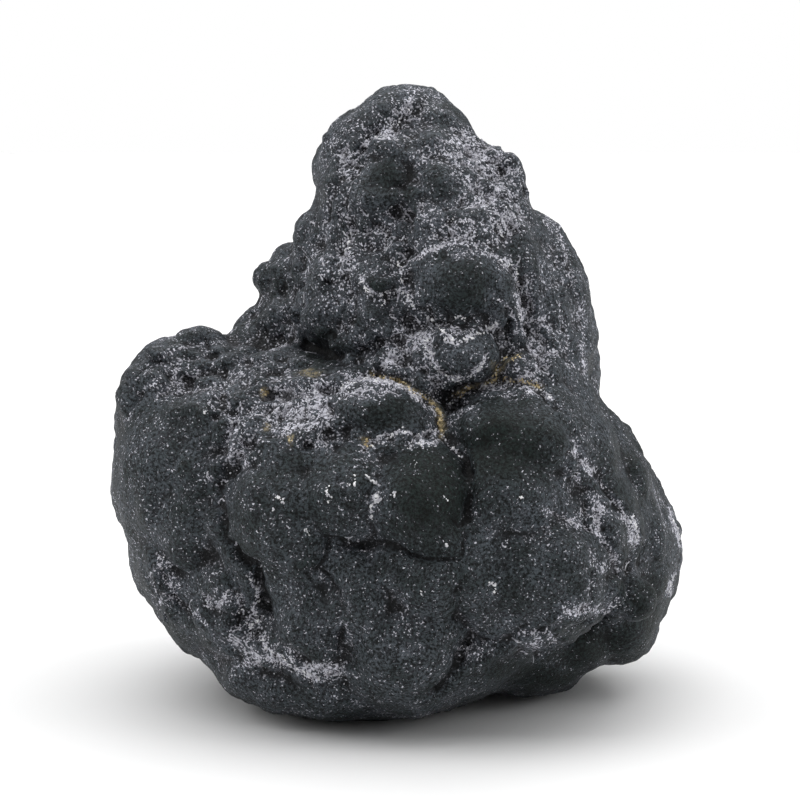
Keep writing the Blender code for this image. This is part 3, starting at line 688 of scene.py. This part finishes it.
def work_skin(mesh):
    co, normals = points_of(mesh), normals_of(mesh)
    seen = in_view(co)
    front = facing(normals)
    rough = roughness_field(co, normals, seen)
    # A real crease is deep in places and nearly closed in others
    deeper = np.clip(0.8 + 1.2 * slow_noise(co, 3.5, 13), 0.15, 1.5)
    push = -dented(seen) - groove_depths(shaken(seen, co, WOBBLE, WOBBLE_WAVE, 11)) * front * deeper
    for size, height in CRUMBS:
        push += height * rough * (crumbs(co, size) - 0.5)
    for seed, (wave, height) in enumerate(UNEVEN):
        push += height * slow_noise(co, wave, seed) * (0.45 + 0.55 * rough)
    # The flats that it stands on stay flat
    push *= np.clip((co[:, 2] - FLAT_TO) / FLAT_FADE, 0, 1)
    co = co + normals * push[:, None]
    mesh.vertices.foreach_set("co", co.ravel())
    mesh.update()


work_skin(skin)
print("worked skin after", round(time.time() - started), "s")

# %% [markdown]
# A fine voxel skin has far more triangles than a piece should hold. Decimate takes them away where the
# surface is flattest, so the crumbs keep theirs. The stone stands on three worn flats, and a cut at the
# table's level leaves them truly flat again.

# %% Thinning the skin, and cutting it flat where it stands
TRIANGLES = 192000
SHAVED = 0.02


def thinned(mesh, triangles):
    obj = link(bpy.data.objects.new("thin", mesh))
    thin = obj.modifiers.new("thin", "DECIMATE")
    mesh.calc_loop_triangles()
    thin.ratio = min(1, triangles / len(mesh.loop_triangles))
    result = evaluated_mesh(obj)
    bpy.data.objects.remove(obj)
    return result


def stand_flat(mesh):
    bm = bmesh.new()
    bm.from_mesh(mesh)
    bmesh.ops.bisect_plane(
        bm,
        geom=bm.verts[:] + bm.edges[:] + bm.faces[:],
        plane_co=(0, 0, SHAVED),
        plane_no=(0, 0, 1),
        clear_inner=True,
    )
    bmesh.ops.holes_fill(bm, edges=[edge for edge in bm.edges if edge.is_boundary])
    bmesh.ops.translate(bm, verts=bm.verts, vec=(0, 0, -SHAVED))
    bmesh.ops.triangulate(bm, faces=bm.faces[:])
    bmesh.ops.recalc_face_normals(bm, faces=bm.faces[:])
    bm.to_mesh(mesh)
    bm.free()


stone_mesh = thinned(skin, TRIANGLES)
stand_flat(stone_mesh)
print("stone:", len(stone_mesh.polygons), "triangles after", round(time.time() - started), "s")

# %% [markdown]
# The finish depends on the place too, so each point of the finished mesh carries what its material
# needs: frost, clay, and how deep it lies below the surface around it, from which the material paints
# shade into the creases. That last one could be baked with rays. Comparing the mesh with a blurred copy
# of itself is quicker: a point in a crease lies under the blurred skin.

# %% How hollow the skin is at every point
FINE_ROUNDS, FINE_DEPTH = 10, 0.25
BROAD_ROUNDS, BROAD_DEPTH = 60, 0.8


def edges_of(mesh):
    pairs = np.empty(len(mesh.edges) * 2, int)
    mesh.edges.foreach_get("vertices", pairs)
    return pairs.reshape(-1, 2)


def blurred(values, pairs, rounds):
    """Every point's value averaged with its neighbours', again and again."""
    count = np.bincount(pairs.ravel(), minlength=len(values)) + 1.0
    for _ in range(rounds):
        total = values.copy()
        for axis in range(values.shape[1]):
            column = values[:, axis]
            total[:, axis] += np.bincount(pairs[:, 0], column[pairs[:, 1]], len(values))
            total[:, axis] += np.bincount(pairs[:, 1], column[pairs[:, 0]], len(values))
        values = total / count[:, None]
    return values


def hollowness(mesh, rounds, depth):
    """-1 on a crest, 1 in a valley, by how far a point lies under the blurred skin."""
    co = points_of(mesh)
    sunk = np.sum((blurred(co, edges_of(mesh), rounds) - co) * normals_of(mesh), 1)
    return np.clip(sunk / depth, -1, 1)


fine_hollows = hollowness(stone_mesh, FINE_ROUNDS, FINE_DEPTH)
broad_hollows = hollowness(stone_mesh, BROAD_ROUNDS, BROAD_DEPTH)
print("points in a fine valley:", int((fine_hollows > 0.5).sum()))

# %% Where the frost is, and where it is rubbed off
THIN_FROST = 0.16
HEAD_FROM, HEAD_FADE = 48, 8
WANDER, WANDER_WAVE = 1.8, 6


def worn_and_shaded_field(places, co, front, hidden):
    """1 on a rubbed face, and on the patches of painted shade under the lower right.
    Its edges wander more than those of the frost do.
    """
    wandering = shaken(places, co, WANDER, WANDER_WAVE, 31)
    return np.maximum(patches(WORN_AND_SHADED, wandering) * front, (1 - front) * np.clip(-2.2 * hidden, 0, 0.8))


def thin_frost(co, seen, front, rough):
    """The dust that lies everywhere, more of it on the head and in the valleys."""
    patchy = 0.5 + 0.5 * slow_noise(co, 9, 21)
    on_head = np.clip((seen[:, 1] - HEAD_FROM) / HEAD_FADE, 0, 1)
    dust = THIN_FROST + 0.12 * patchy + 0.11 * on_head * front
    valleys = np.clip(broad_hollows, 0, 1) * (0.25 + 0.75 * rough)
    dust += 0.5 * valleys + 0.2 * np.clip(fine_hollows, 0, 0.6)
    return dust


def frost_of(places, co, normals, seen, front):
    rough = roughness_field(co, normals, seen)
    # What the view doesn't show gets the same mix of frosted and worn parts
    hidden = slow_noise(co, 13, 22)
    unseen = 0.9 * (1 - front) * np.clip(2.4 * hidden - 0.3, 0, 1)
    frost = np.maximum(patches(FROST, places) * front, unseen)
    # It gathers between the crumbs and is rubbed off their tops
    frost *= np.clip(1.0 + 0.5 * fine_hollows, 0.4, 1.25)
    # Rubbed faces lose their frost; the same mask takes it off the patches of painted shade under the lower
    # right
    worn_and_shaded = np.clip(worn_and_shaded_field(places, co, front, hidden), 0, 1)
    frost = np.maximum(frost, thin_frost(co, seen, front, rough)) * (1 - 0.9 * worn_and_shaded)
    edgeways = np.clip(6 * normals @ np.array(TO_VIEWER), 0, 1)
    return np.maximum(frost, lines(RIMS_AND_EDGE_SHEEN, places) * edgeways)


# %% Fields that the material reads
def write_field(mesh, name, values):
    field = mesh.attributes.new(name, "FLOAT", "POINT")
    field.data.foreach_set("value", np.clip(values, 0, 1).astype(np.float32))


def dress(mesh):
    co, normals = points_of(mesh), normals_of(mesh)
    seen, front = in_view(co), facing(normals)
    places = shaken(seen, co, WOBBLE, WOBBLE_WAVE, 11)
    frost = frost_of(places, co, normals, seen, front)
    clay = np.maximum(patches(OCHRE, places), lines(CLAY_SEAMS, places)) * front
    write_field(mesh, "frost", frost)
    write_field(mesh, "ochre", clay)
    write_field(mesh, "hollow", 0.5 + 0.5 * fine_hollows)
    return frost


frost_field = dress(stone_mesh)
print("mean frost", round(float(frost_field.mean()), 2), "after", round(time.time() - started), "s")

# %% [markdown]
# ## The finish
# Nothing here is an image: every pattern is noise in the stone's own coordinates, so it goes right
# round and has no seam. Colours are written as sRGB hex, as a colour picker gives them, and one
# function turns them to the linear values that the shader works in. Others start a material, add a
# node with its settings and its links, and close the material with its surface.

# %% Helpers for materials
def linear(hex_colour):
    channels = [int(hex_colour[i : i + 2], 16) / 255 for i in (1, 3, 5)]
    return tuple(c / 12.92 if c <= 0.04045 else ((c + 0.055) / 1.055) ** 2.4 for c in channels) + (1.0,)


def per(size_mm):
    """The texture scale that gives features of this size, since Object coordinates are in metres."""
    return 1 / (size_mm * MM)


def add(tree, kind, inputs=(), **settings):
    """Adds a node. Inputs are pairs of socket and value, or of socket and another node's output."""
    node = tree.nodes.new(kind)
    for name, value in settings.items():
        setattr(node, name, value)
    for name, value in inputs:
        if isinstance(value, bpy.types.NodeSocket):
            tree.links.new(value, node.inputs[name])
        else:
            node.inputs[name].default_value = value
    return node


def empty_material(name):
    material = bpy.data.materials.new(name)
    material.use_nodes = True
    material.node_tree.nodes.clear()
    return material


def surfaced(material, inputs):
    surface = add(material.node_tree, "ShaderNodeBsdfPrincipled", inputs)
    add(material.node_tree, "ShaderNodeOutputMaterial", [("Surface", surface.outputs["BSDF"])])
    return material


print("a pattern of one millimetre has the scale", per(1))

# %% Mixing colours, mapping ranges, adding up, and noise of a size in millimetres
def blend(tree, factor, a, b, kind="MIX"):
    inputs = [("Factor", factor), ("A", a), ("B", b)]
    mix = add(tree, "ShaderNodeMix", inputs, data_type="RGBA", blend_type=kind)
    return mix.outputs["Result"]


def fade(tree, value, low, high, to_low=0.0, to_high=1.0):
    """Maps low..high to to_low..to_high and stops there."""
    inputs = [("Value", value), ("From Min", low), ("From Max", high)]
    inputs += [("To Min", to_low), ("To Max", to_high)]
    return add(tree, "ShaderNodeMapRange", inputs).outputs["Result"]


def sums(tree, kind, *values):
    """A chain of one kind of arithmetic over sockets and numbers."""
    total = values[0]
    for value in values[1:]:
        total = add(tree, "ShaderNodeMath", [(0, total), (1, value)], operation=kind).outputs[0]
    return total


def cloud(tree, place, size_mm, detail=2.0, roughness=0.5):
    inputs = [("Vector", place), ("Scale", per(size_mm)), ("Detail", detail), ("Roughness", roughness)]
    return add(tree, "ShaderNodeTexNoise", inputs)


# %% [markdown]
# Nodular stone like this is matte and nearly black: fine grains, greenish where it is worn and greyer
# where dust holds, with an IOR near 1.59. Light gets lost between the grains, so it shines less than a
# polished piece would. One flat colour would look like rubber. The real grains are a tenth of a
# millimetre, too fine to show, so they are drawn four times as coarse, and a drift over half a
# centimetre keeps the lobes from looking alike.

# %% The colour of the bare stone
IOR = 1.59
GRAIN_SIZE = 0.40
DRIFT_SIZE = 4.5


def bare_stone(tree, place, grain, frost):
    drift = fade(tree, cloud(tree, place, DRIFT_SIZE, 5, 0.65).outputs["Fac"], 0.40, 0.60, 0.3, 1.0)
    drift = sums(tree, "MULTIPLY", drift, fade(tree, frost, 0.02, 0.26))
    grains = fade(tree, grain, 0.43, 0.60)
    # The dark worn colour also shows where painted shade takes the frost away under the lower right
    worn_and_shaded = blend(tree, grains, linear("#000201"), linear("#1c2725"))
    dusty = blend(tree, grains, linear("#060a0b"), linear("#585f66"))
    return blend(tree, drift, worn_and_shaded, dusty)


print("grains", GRAIN_SIZE, "mm, drift", DRIFT_SIZE, "mm")

# %% [markdown]
# The frost is a crust of tiny pale crystals. Near to, it is not a film: it is a maze of short bright
# strokes with dark gaps between, and it gets thinner towards its edge until only single strokes are
# left. Fading to a pale colour would look like chalk. A fine noise lifted by the frost field and cut at
# a level makes such a maze. The real strokes are a tenth of a millimetre wide, and these are drawn
# about three times as wide, so that they show.

# %% Where the frost lies: a dull film, a maze of strokes and single sparks
PATCH_SIZE, CLOUD_SIZE = 1.9, 6
STROKE_SIZE = 0.34
SPARK_SIZE, SPARK_CLUSTER = 0.42, 1.3
FROST_LEVEL = 0.865


def frost_layers(tree, place, frost):
    patchy = cloud(tree, place, PATCH_SIZE, 3, 0.6).outputs["Fac"]
    clouds = cloud(tree, place, CLOUD_SIZE, 4, 0.6).outputs["Fac"]
    uneven = sums(tree, "ADD", sums(tree, "MULTIPLY", patchy, 1.1), sums(tree, "MULTIPLY", clouds, 0.8))
    amount = sums(tree, "ADD", frost, uneven, -FROST_LEVEL)
    fine = cloud(tree, place, STROKE_SIZE, 2, 0.6).outputs["Fac"]
    maze = fade(tree, sums(tree, "ADD", fine, sums(tree, "MULTIPLY", amount, 0.24)), 0.73, 0.76)
    dusty = sums(tree, "ADD", amount, sums(tree, "MULTIPLY", sums(tree, "SUBTRACT", fine, 0.5), 1.5))
    film = fade(tree, dusty, 0.16, 1.1, 0.0, 0.55)
    spark = cloud(tree, place, SPARK_SIZE, 3, 0.65).outputs["Fac"]
    cluster = cloud(tree, place, SPARK_CLUSTER, 2).outputs["Fac"]
    spark = sums(tree, "ADD", spark, sums(tree, "MULTIPLY", amount, 0.14))
    # On worn faces, and on the painted shade under the lower right, there are fewer
    fewer = fade(tree, frost, 0.0, 0.2, -0.20, -0.15)
    spark = sums(tree, "ADD", spark, sums(tree, "MULTIPLY", cluster, 0.3), fewer)
    return film, maze, fade(tree, spark, 0.71, 0.75), fade(tree, spark, 0.79, 0.81)


print("frost strokes", STROKE_SIZE, "mm, sparks", SPARK_SIZE, "mm")


# %% [markdown]
# Every form that can be seen is in the mesh already. Bump mapping carries only what is finer: a tooth
# of grains on the stone, and crumbs of less than a millimetre in the frost, which modelling would pay
# for with millions of triangles.

# %% Relief finer than the mesh
FINE_CRUMB_SIZE = 0.7
FINE_CRUMB_HEIGHT = 0.30 * MM
GRAIN_HEIGHT = 0.20 * MM


def fine_relief(tree, place, grain, frost):
    inputs = [("Vector", place), ("Scale", per(FINE_CRUMB_SIZE))]
    crumb = add(tree, "ShaderNodeTexVoronoi", inputs).outputs["Distance"]
    inputs = [("Height", sums(tree, "MULTIPLY", crumb, frost)), ("Distance", -FINE_CRUMB_HEIGHT)]
    crumbs_bump = add(tree, "ShaderNodeBump", inputs).outputs["Normal"]
    inputs = [("Height", grain), ("Distance", GRAIN_HEIGHT), ("Normal", crumbs_bump)]
    return add(tree, "ShaderNodeBump", inputs).outputs["Normal"]


print("fine relief at most", round(FINE_CRUMB_HEIGHT / MM, 2), "mm high")

# %% [markdown]
# The layers go on in the order in which they lie on the stone: bare stone, a dull film of dust, grey
# specks, the bright maze and single white sparks; then painted shade darkens the creases, and clay goes
# in the seams. Each is a mix over what is under it, and where the crust is thick it is rougher than the
# rubbed stone.

# %% Green-black stone under a lilac-grey crust of fine crystals
CLAY_SMEAR = 0.5


def frosted_stone():
    # Fine-grained stone, grown and then rubbed: matte, nearly black, pale only where crystals sit on it
    material = empty_material("frosted_green_black_stone")
    tree = material.node_tree
    place = add(tree, "ShaderNodeTexCoord").outputs["Object"]
    fields = {
        name: add(tree, "ShaderNodeAttribute", attribute_name=name).outputs["Fac"]
        for name in ("frost", "ochre", "hollow")
    }
    grain = cloud(tree, place, GRAIN_SIZE, 3, 0.75).outputs["Fac"]
    film, lace, specks, sparks = frost_layers(tree, place, fields["frost"])
    colour = blend(tree, film, bare_stone(tree, place, grain, fields["frost"]), linear("#5a5b64"))
    colour = blend(tree, specks, colour, linear("#81828b"))
    colour = blend(tree, lace, colour, linear("#d2d2dc"))
    colour = blend(tree, sparks, colour, linear("#e6e6ea"))

    # Painted shade: the bottoms of the creases are darkened, as shade falls in them
    colour = blend(tree, 1.0, colour, fade(tree, fields["hollow"], 0.62, 1.0, 1.0, 0.12), "MULTIPLY")

    # Clay lies in the seams, in patches
    smear = fade(tree, cloud(tree, place, CLAY_SMEAR, 4).outputs["Fac"], 0.38, 0.58)
    colour = blend(tree, sums(tree, "MULTIPLY", fields["ochre"], smear), colour, linear("#c8b78c"))

    inputs = [
        ("Base Color", colour),
        ("Roughness", fade(tree, lace, 0, 1, 0.58, 0.85)),
        ("Normal", fine_relief(tree, place, grain, fields["frost"])),
        ("IOR", IOR),
        ("Specular IOR Level", 0.14),
    ]
    return surfaced(material, inputs)


stone_finish = frosted_stone()
print(stone_finish.name, "has", len(stone_finish.node_tree.nodes), "nodes")

# %% Handing a mesh over as a finished piece
def finished(name, mesh, material):
    """A mesh in millimetres becomes a piece in metres at the origin, on the frame's one body."""
    mesh.transform(Matrix.Scale(MM, 4))
    mesh.name = name
    mesh.materials.clear()
    mesh.materials.append(material)
    mesh.shade_smooth()
    piece = link(bpy.data.objects.new(name, mesh))
    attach(piece, "root")
    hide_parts("howlite_nodule")
    print(name, "has", len(mesh.polygons), "faces")


# %% [markdown]
# Where the frost is thick, crystal grains stand out of it, some alone and some in short rows that
# wander over the skin. Particles would be lost in an export, so they are real meshes: thousands of
# flattened balls of about a quarter millimetre, twice the real size, so that they show. Each lies on
# the finished skin at a point picked at random, the more likely the more frost there is.

# %% A mineral in grains
TINY_BALL = unit_ball(1)
TINT_SIZE = 0.7


def grainy_mineral(name, dull, colour):
    """Small grains of one mineral, some dull and some clean."""
    material = empty_material(name)
    tree = material.node_tree
    place = add(tree, "ShaderNodeTexCoord").outputs["Object"]
    tint = fade(tree, cloud(tree, place, TINT_SIZE, 1).outputs["Fac"], 0.35, 0.65)
    mixed = blend(tree, tint, linear(dull), linear(colour))
    return surfaced(material, [("Base Color", mixed), ("Roughness", 0.5), ("IOR", IOR)])


def lying_grain(place, normal, radius):
    """A flattened ball on the skin, up to twice as long as wide, turned at random."""
    lie = Vector(normal).to_track_quat("Z", "X").to_matrix().to_4x4()
    spin = Matrix.Rotation(rng.uniform(0, math.pi), 4, "Z")
    size = Matrix.Diagonal((radius * rng.uniform(1, 2), radius, radius * 0.7, 1))
    return placed(TINY_BALL, Matrix.Translation(place) @ lie @ spin @ size)


print("one grain has", len(TINY_BALL[1]), "triangles")

# %% Loose grains of frost, and wandering rows of them
GRAINS = 4800
GRAIN_RADII = (0.07, 0.16)
LOWEST_GRAIN = 1
STROKES = 460
STROKE_GRAINS = (5, 13)
STROKE_RADII = (0.08, 0.13)
STROKE_STEP = 0.16
STROKE_TURN = 0.5


def grain_shapes(mesh, frost, count):
    co, normals = points_of(mesh), normals_of(mesh)
    weight = np.clip(frost - 0.35, 0, 1) ** 1.5 * (co[:, 2] > LOWEST_GRAIN)
    picked = rng.choice(len(co), count, replace=False, p=weight / weight.sum())
    for i in picked:
        yield lying_grain(co[i], normals[i], rng.uniform(*GRAIN_RADII))


skin_tree = tree_of(stone_mesh)


def stroke_shapes(mesh, frost, count):
    """Short chains of grains that wander over the skin, as the crystals do in the frost."""
    co, normals = points_of(mesh), normals_of(mesh)
    weight = np.clip(frost - 0.3, 0, 1) * (co[:, 2] > LOWEST_GRAIN)
    for i in rng.choice(len(co), count, replace=False, p=weight / weight.sum()):
        place, normal = Vector(co[i]), Vector(normals[i])
        ahead = normal.orthogonal().normalized()
        ahead.rotate(Matrix.Rotation(rng.uniform(0, 2 * math.pi), 3, normal))
        for _ in range(rng.integers(*STROKE_GRAINS)):
            yield lying_grain(place, normal, rng.uniform(*STROKE_RADII))
            ahead.rotate(Matrix.Rotation(rng.normal(0, STROKE_TURN), 3, normal))
            place, normal, _, _ = skin_tree.find_nearest(place + ahead * STROKE_STEP)


loose_grains = grain_shapes(stone_mesh, frost_field, GRAINS)
grain_mesh = joined([*loose_grains, *stroke_shapes(stone_mesh, frost_field, STROKES)])
print("frost grains and strokes:", len(grain_mesh.polygons), "faces")

# %% [markdown]
# The brightest marks on the photographed side are short white threads that crawl over the lobes. A tube
# along a curve would look like a hair laid on the stone. Near to, they are chains of separate grains
# with gaps between, so grains are laid every tenth or two of a millimetre along a line of the view,
# each shaken a little to the side and of its own size. Some are left out, more of them in some
# stretches than in others. Along the far right edge the same grains are a painted highlight: they paint
# the sheen that the edge catches.

# %% White threads and the painted edge sheen: radius of the grains, and the way each runs, across and up
THREADS_AND_EDGE_SHEEN = [
    # On the middle and left parts of the front
    (0.16, [(-6.4, 34.6), (-6.2, 34.1), (-6.2, 33.7), (-6.4, 33.3), (-7.1, 33.2), (-7.7, 33.2)]),
    (0.17, [(-4.8, 34.6), (-4.5, 34.2), (-4.1, 33.8), (-3.5, 33.5), (-3.1, 33)]),
    (
        0.20,
        [(-3.1, 32.1), (-3.2, 31.5), (-2.9, 31.1), (-3.5, 30.7), (-4.1, 30.1), (-4.1, 29.4), (-3.9, 28.4)],
    ),
    (0.15, [(-0.8, 32.2), (-0.6, 31.9), (-0.8, 31.5)]), (0.10, [(2.1, 36.4), (2.2, 36), (2, 35.4)]),
    (0.13, [(-10.1, 32.8), (-10.4, 31.8), (-9.7, 31.5), (-10.1, 30.7)]),
    (0.14, [(-17.5, 31.5), (-16.8, 31.2), (-16.2, 30.5)]), (0.18, [(-17.9, 29.7), (-17.2, 29.5)]),
    (0.12, [(-13.3, 26.9), (-12.9, 26.3), (-12.6, 25.8)]), (0.14, [(6.3, 31.4), (6.6, 30.7)]),
    (0.14, [(16.8, 31.4), (17.4, 31.2)]), (0.14, [(6.4, 24.8), (6.7, 24.4)]),
    (0.15, [(12.2, 19), (13, 19.3), (13.7, 19)]), (0.15, [(13.4, 18.4), (13, 18)]),
    (0.12, [(-27.2, 43.6), (-27.4, 43)]),
    (0.14, [(-33.6, 23.1), (-32.9, 22.7)]), (0.12, [(2.8, 18.2), (3.2, 17.8)]),
    # Under the chin
    (0.14, [(3.5, 52.8), (4.1, 51.8), (4.3, 50.7)]), (0.14, [(4.8, 49.7), (5.7, 48.9), (6.6, 48.3)]),
    (0.12, [(7.6, 47.9), (8.7, 47.7)]), (0.14, [(9.8, 48.2), (10.8, 49), (11.5, 49.8)]),
    (0.14, [(3.9, 56.6), (4.8, 56), (5.6, 54.9), (6.6, 54.2)]),
    (0.12, [(7.7, 56.6), (8.4, 56.8), (9.1, 56.1)]),
    (0.16, [(12, 54.9), (12.9, 55.3), (13.7, 56)]), (0.14, [(9.5, 53.5), (10.5, 53.9), (11.5, 54.5)]),
    # Face
    (0.13, [(1.1, 59.5), (1.5, 58.8), (2, 57.8)]), (0.12, [(-5.2, 61.5), (-4.8, 60.5), (-4.1, 59.8)]),
    (0.12, [(-3.1, 59.5), (-2.1, 59.8), (-1.3, 60.5)]), (0.12, [(-2.1, 58.9), (-2.5, 58.1)]),
    (0.12, [(13.7, 69.6), (14, 68.6), (14.4, 67.8)]), (0.10, [(7.7, 71), (7.3, 70)]),
    # Right edge: the first two lie on the outline and paint the sheen that it catches
    (0.16, [(38.1, 28.1), (38.6, 27.2), (39.1, 26), (39.2, 24.9)]), (0.14, [(38.4, 20.6), (37.5, 17.8)]),
    (0.15, [(32.6, 28.4), (33, 27.4), (33.3, 26.2), (33.2, 25.1)]),
]
print("white threads:", len(THREADS_AND_EDGE_SHEEN))

# %% Chains of grains along them, and along the strongest frosted lips, with the painted edge sheen
RIM_THREADS_AND_EDGE_SHEEN = [(0.15, way) for strength, _, way in RIMS_AND_EDGE_SHEEN if strength >= 0.9]
GAP_WAVE = 1.2


def stepped(way, step):
    """Points every so often along a line of several straight parts."""
    for start, end in zip(way, way[1:]):
        start, end = Vector(start), Vector(end)
        steps = max(1, round((end - start).length / step))
        for i in range(steps):
            yield start.lerp(end, i / steps)


def chain(table, step, shake, kept, gaps):
    """Grains along lines of the view; gaps says how broken the lines are."""
    for radius, way in table:
        for point in stepped(way, step):
            across, up = point + Vector(rng.normal(0, shake, 2))
            hit, normal, _, _ = skin_tree.ray_cast(EYE, sight_line(across, up))
            if hit and rng.uniform() < kept + gaps * noise.noise(hit / GAP_WAVE):
                yield lying_grain(hit, normal, radius * rng.uniform(0.4, 1.3))


thread_and_sheen_grains = [
    *chain(THREADS_AND_EDGE_SHEEN, step=0.13, shake=0.10, kept=0.7, gaps=0.4),
    *chain(RIM_THREADS_AND_EDGE_SHEEN, step=0.18, shake=0.26, kept=0.45, gaps=1.8),
]
thread_and_sheen_mesh = joined(thread_and_sheen_grains)
print("grains in the threads:", len(thread_and_sheen_grains))

# %% [markdown]
# Clay has washed into the seams at the waist and on the shelf, and dried there in ochre crumbs. Colour
# alone would lie flat in the seam. So crumbs are laid as the threads are, larger where there is more
# clay, and shaken further to the side.

# %% Clay crumbs in the seams: radius of the grains, and the way each seam runs
CLAY_RADIUS, MORE_CLAY = 0.09, 0.16
CLAY = [(CLAY_RADIUS + MORE_CLAY * strength, way) for strength, _, way in CLAY_SEAMS] + [
    (0.14, [(-19.3, 46.3), (-18.7, 45.8)]), (0.14, [(-18.9, 41.4), (-18.6, 41)]),
    (0.14, [(-15.5, 39.8), (-15.2, 39)]), (0.14, [(-12.9, 48.9), (-12.2, 48.6)]),
]
clay_mesh = joined(chain(CLAY, step=0.12, shake=0.2, kept=0.6, gaps=1.6))
print("seams with clay crumbs:", len(CLAY))

# %% [markdown]
# All of this is one stone, so the four meshes ride on one body and stand for one solid. They could be
# joined to one mesh, but apart, each mineral keeps a finish of its own.

# %% The four finished pieces
finished("nodule_skin", stone_mesh, stone_finish)

# Crystals this small scatter all the light that enters them, so they look milky, and grey where dusty
finished("frost_grains", grain_mesh, grainy_mineral("milky_frost_crystal", "#8a8a94", "#d4d4dc"))

# The threads are of cleaner crystals, and nearly white; on the far right edge the same grains paint sheen
finished("white_threads_and_edge_sheen", thread_and_sheen_mesh, grainy_mineral("white_crystal_and_edge_sheen", "#a9a9b1", "#f4f4f6"))

# Dried clay is matte, warm and pale, and darker where it is thin
finished("clay_crumbs", clay_mesh, grainy_mineral("ochre_clay", "#a8946a", "#f2deb0"))

# %% [markdown]
# ## The stage
# The photograph is lit like a catalogue picture: a white table that goes on as the backdrop, a large
# soft light overhead and white all round, so the only shadow is the soft one where the stone stands.
# A sun would draw hard shadows. The table and the lights are only staged and don't belong to the stone.

# %% The table, of white board painted matte, which takes a soft shadow and mirrors nothing
floor_mesh = bpy.data.meshes.new("table")
bm = bmesh.new()
bmesh.ops.create_grid(bm, x_segments=1, y_segments=1, size=0.5)
bm.to_mesh(floor_mesh)
bm.free()
floor = link(bpy.data.objects.new("table", floor_mesh))
white_board = [("Base Color", linear("#f3f3f3")), ("Roughness", 0.6)]
floor_mesh.materials.append(surfaced(empty_material("white_table"), white_board))
print("table", [round(length) for length in floor.dimensions], "m")

# %% Three soft lights: place and aim in metres, width in metres, power in watts
def softbox(name, place, aim, size, power):
    light = bpy.data.lights.new(name, "AREA")
    light.size = size
    light.energy = power
    box = link(bpy.data.objects.new(name, light))
    box.location = place
    box.rotation_mode = "QUATERNION"
    box.rotation_quaternion = (Vector(aim) - Vector(place)).to_track_quat("-Z", "Y")


softbox("overhead", (0.0, 0.25, 1.1), (0, 0, 0), size=2.0, power=24)
softbox("right_side", (1.0, -0.1, 0.6), (0, 0, 0.04), size=0.8, power=4.8)
softbox("left_side", (-1.0, -0.1, 0.6), (0, 0, 0.04), size=0.8, power=5)
print("soft lights:", len(bpy.data.lights))

# %% [markdown]
# The camera has to see pure white behind the stone, but a room as bright as that would flatten every
# form. So the surroundings are white to the camera and dim for the light that they cast.

# %% White surroundings
ROOM_LIGHT = 0.22
world = bpy.data.worlds.new("white_room")
bpy.context.scene.world = world
world.use_nodes = True
room = world.node_tree
room.nodes.clear()
ray = add(room, "ShaderNodeLightPath").outputs["Is Camera Ray"]
strength = add(room, "ShaderNodeMapRange", [("Value", ray), ("To Min", ROOM_LIGHT), ("To Max", 1.0)])
inputs = [("Color", linear("#ffffff")), ("Strength", strength.outputs["Result"])]
glow = add(room, "ShaderNodeBackground", inputs)
add(room, "ShaderNodeOutputWorld", [("Surface", glow.outputs["Background"])])
bpy.context.scene.view_settings.view_transform = "Standard"
print("light from the surroundings:", ROOM_LIGHT)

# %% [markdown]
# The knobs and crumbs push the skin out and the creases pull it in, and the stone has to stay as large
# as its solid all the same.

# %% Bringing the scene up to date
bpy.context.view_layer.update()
print("scene made in", round(time.time() - started), "s")
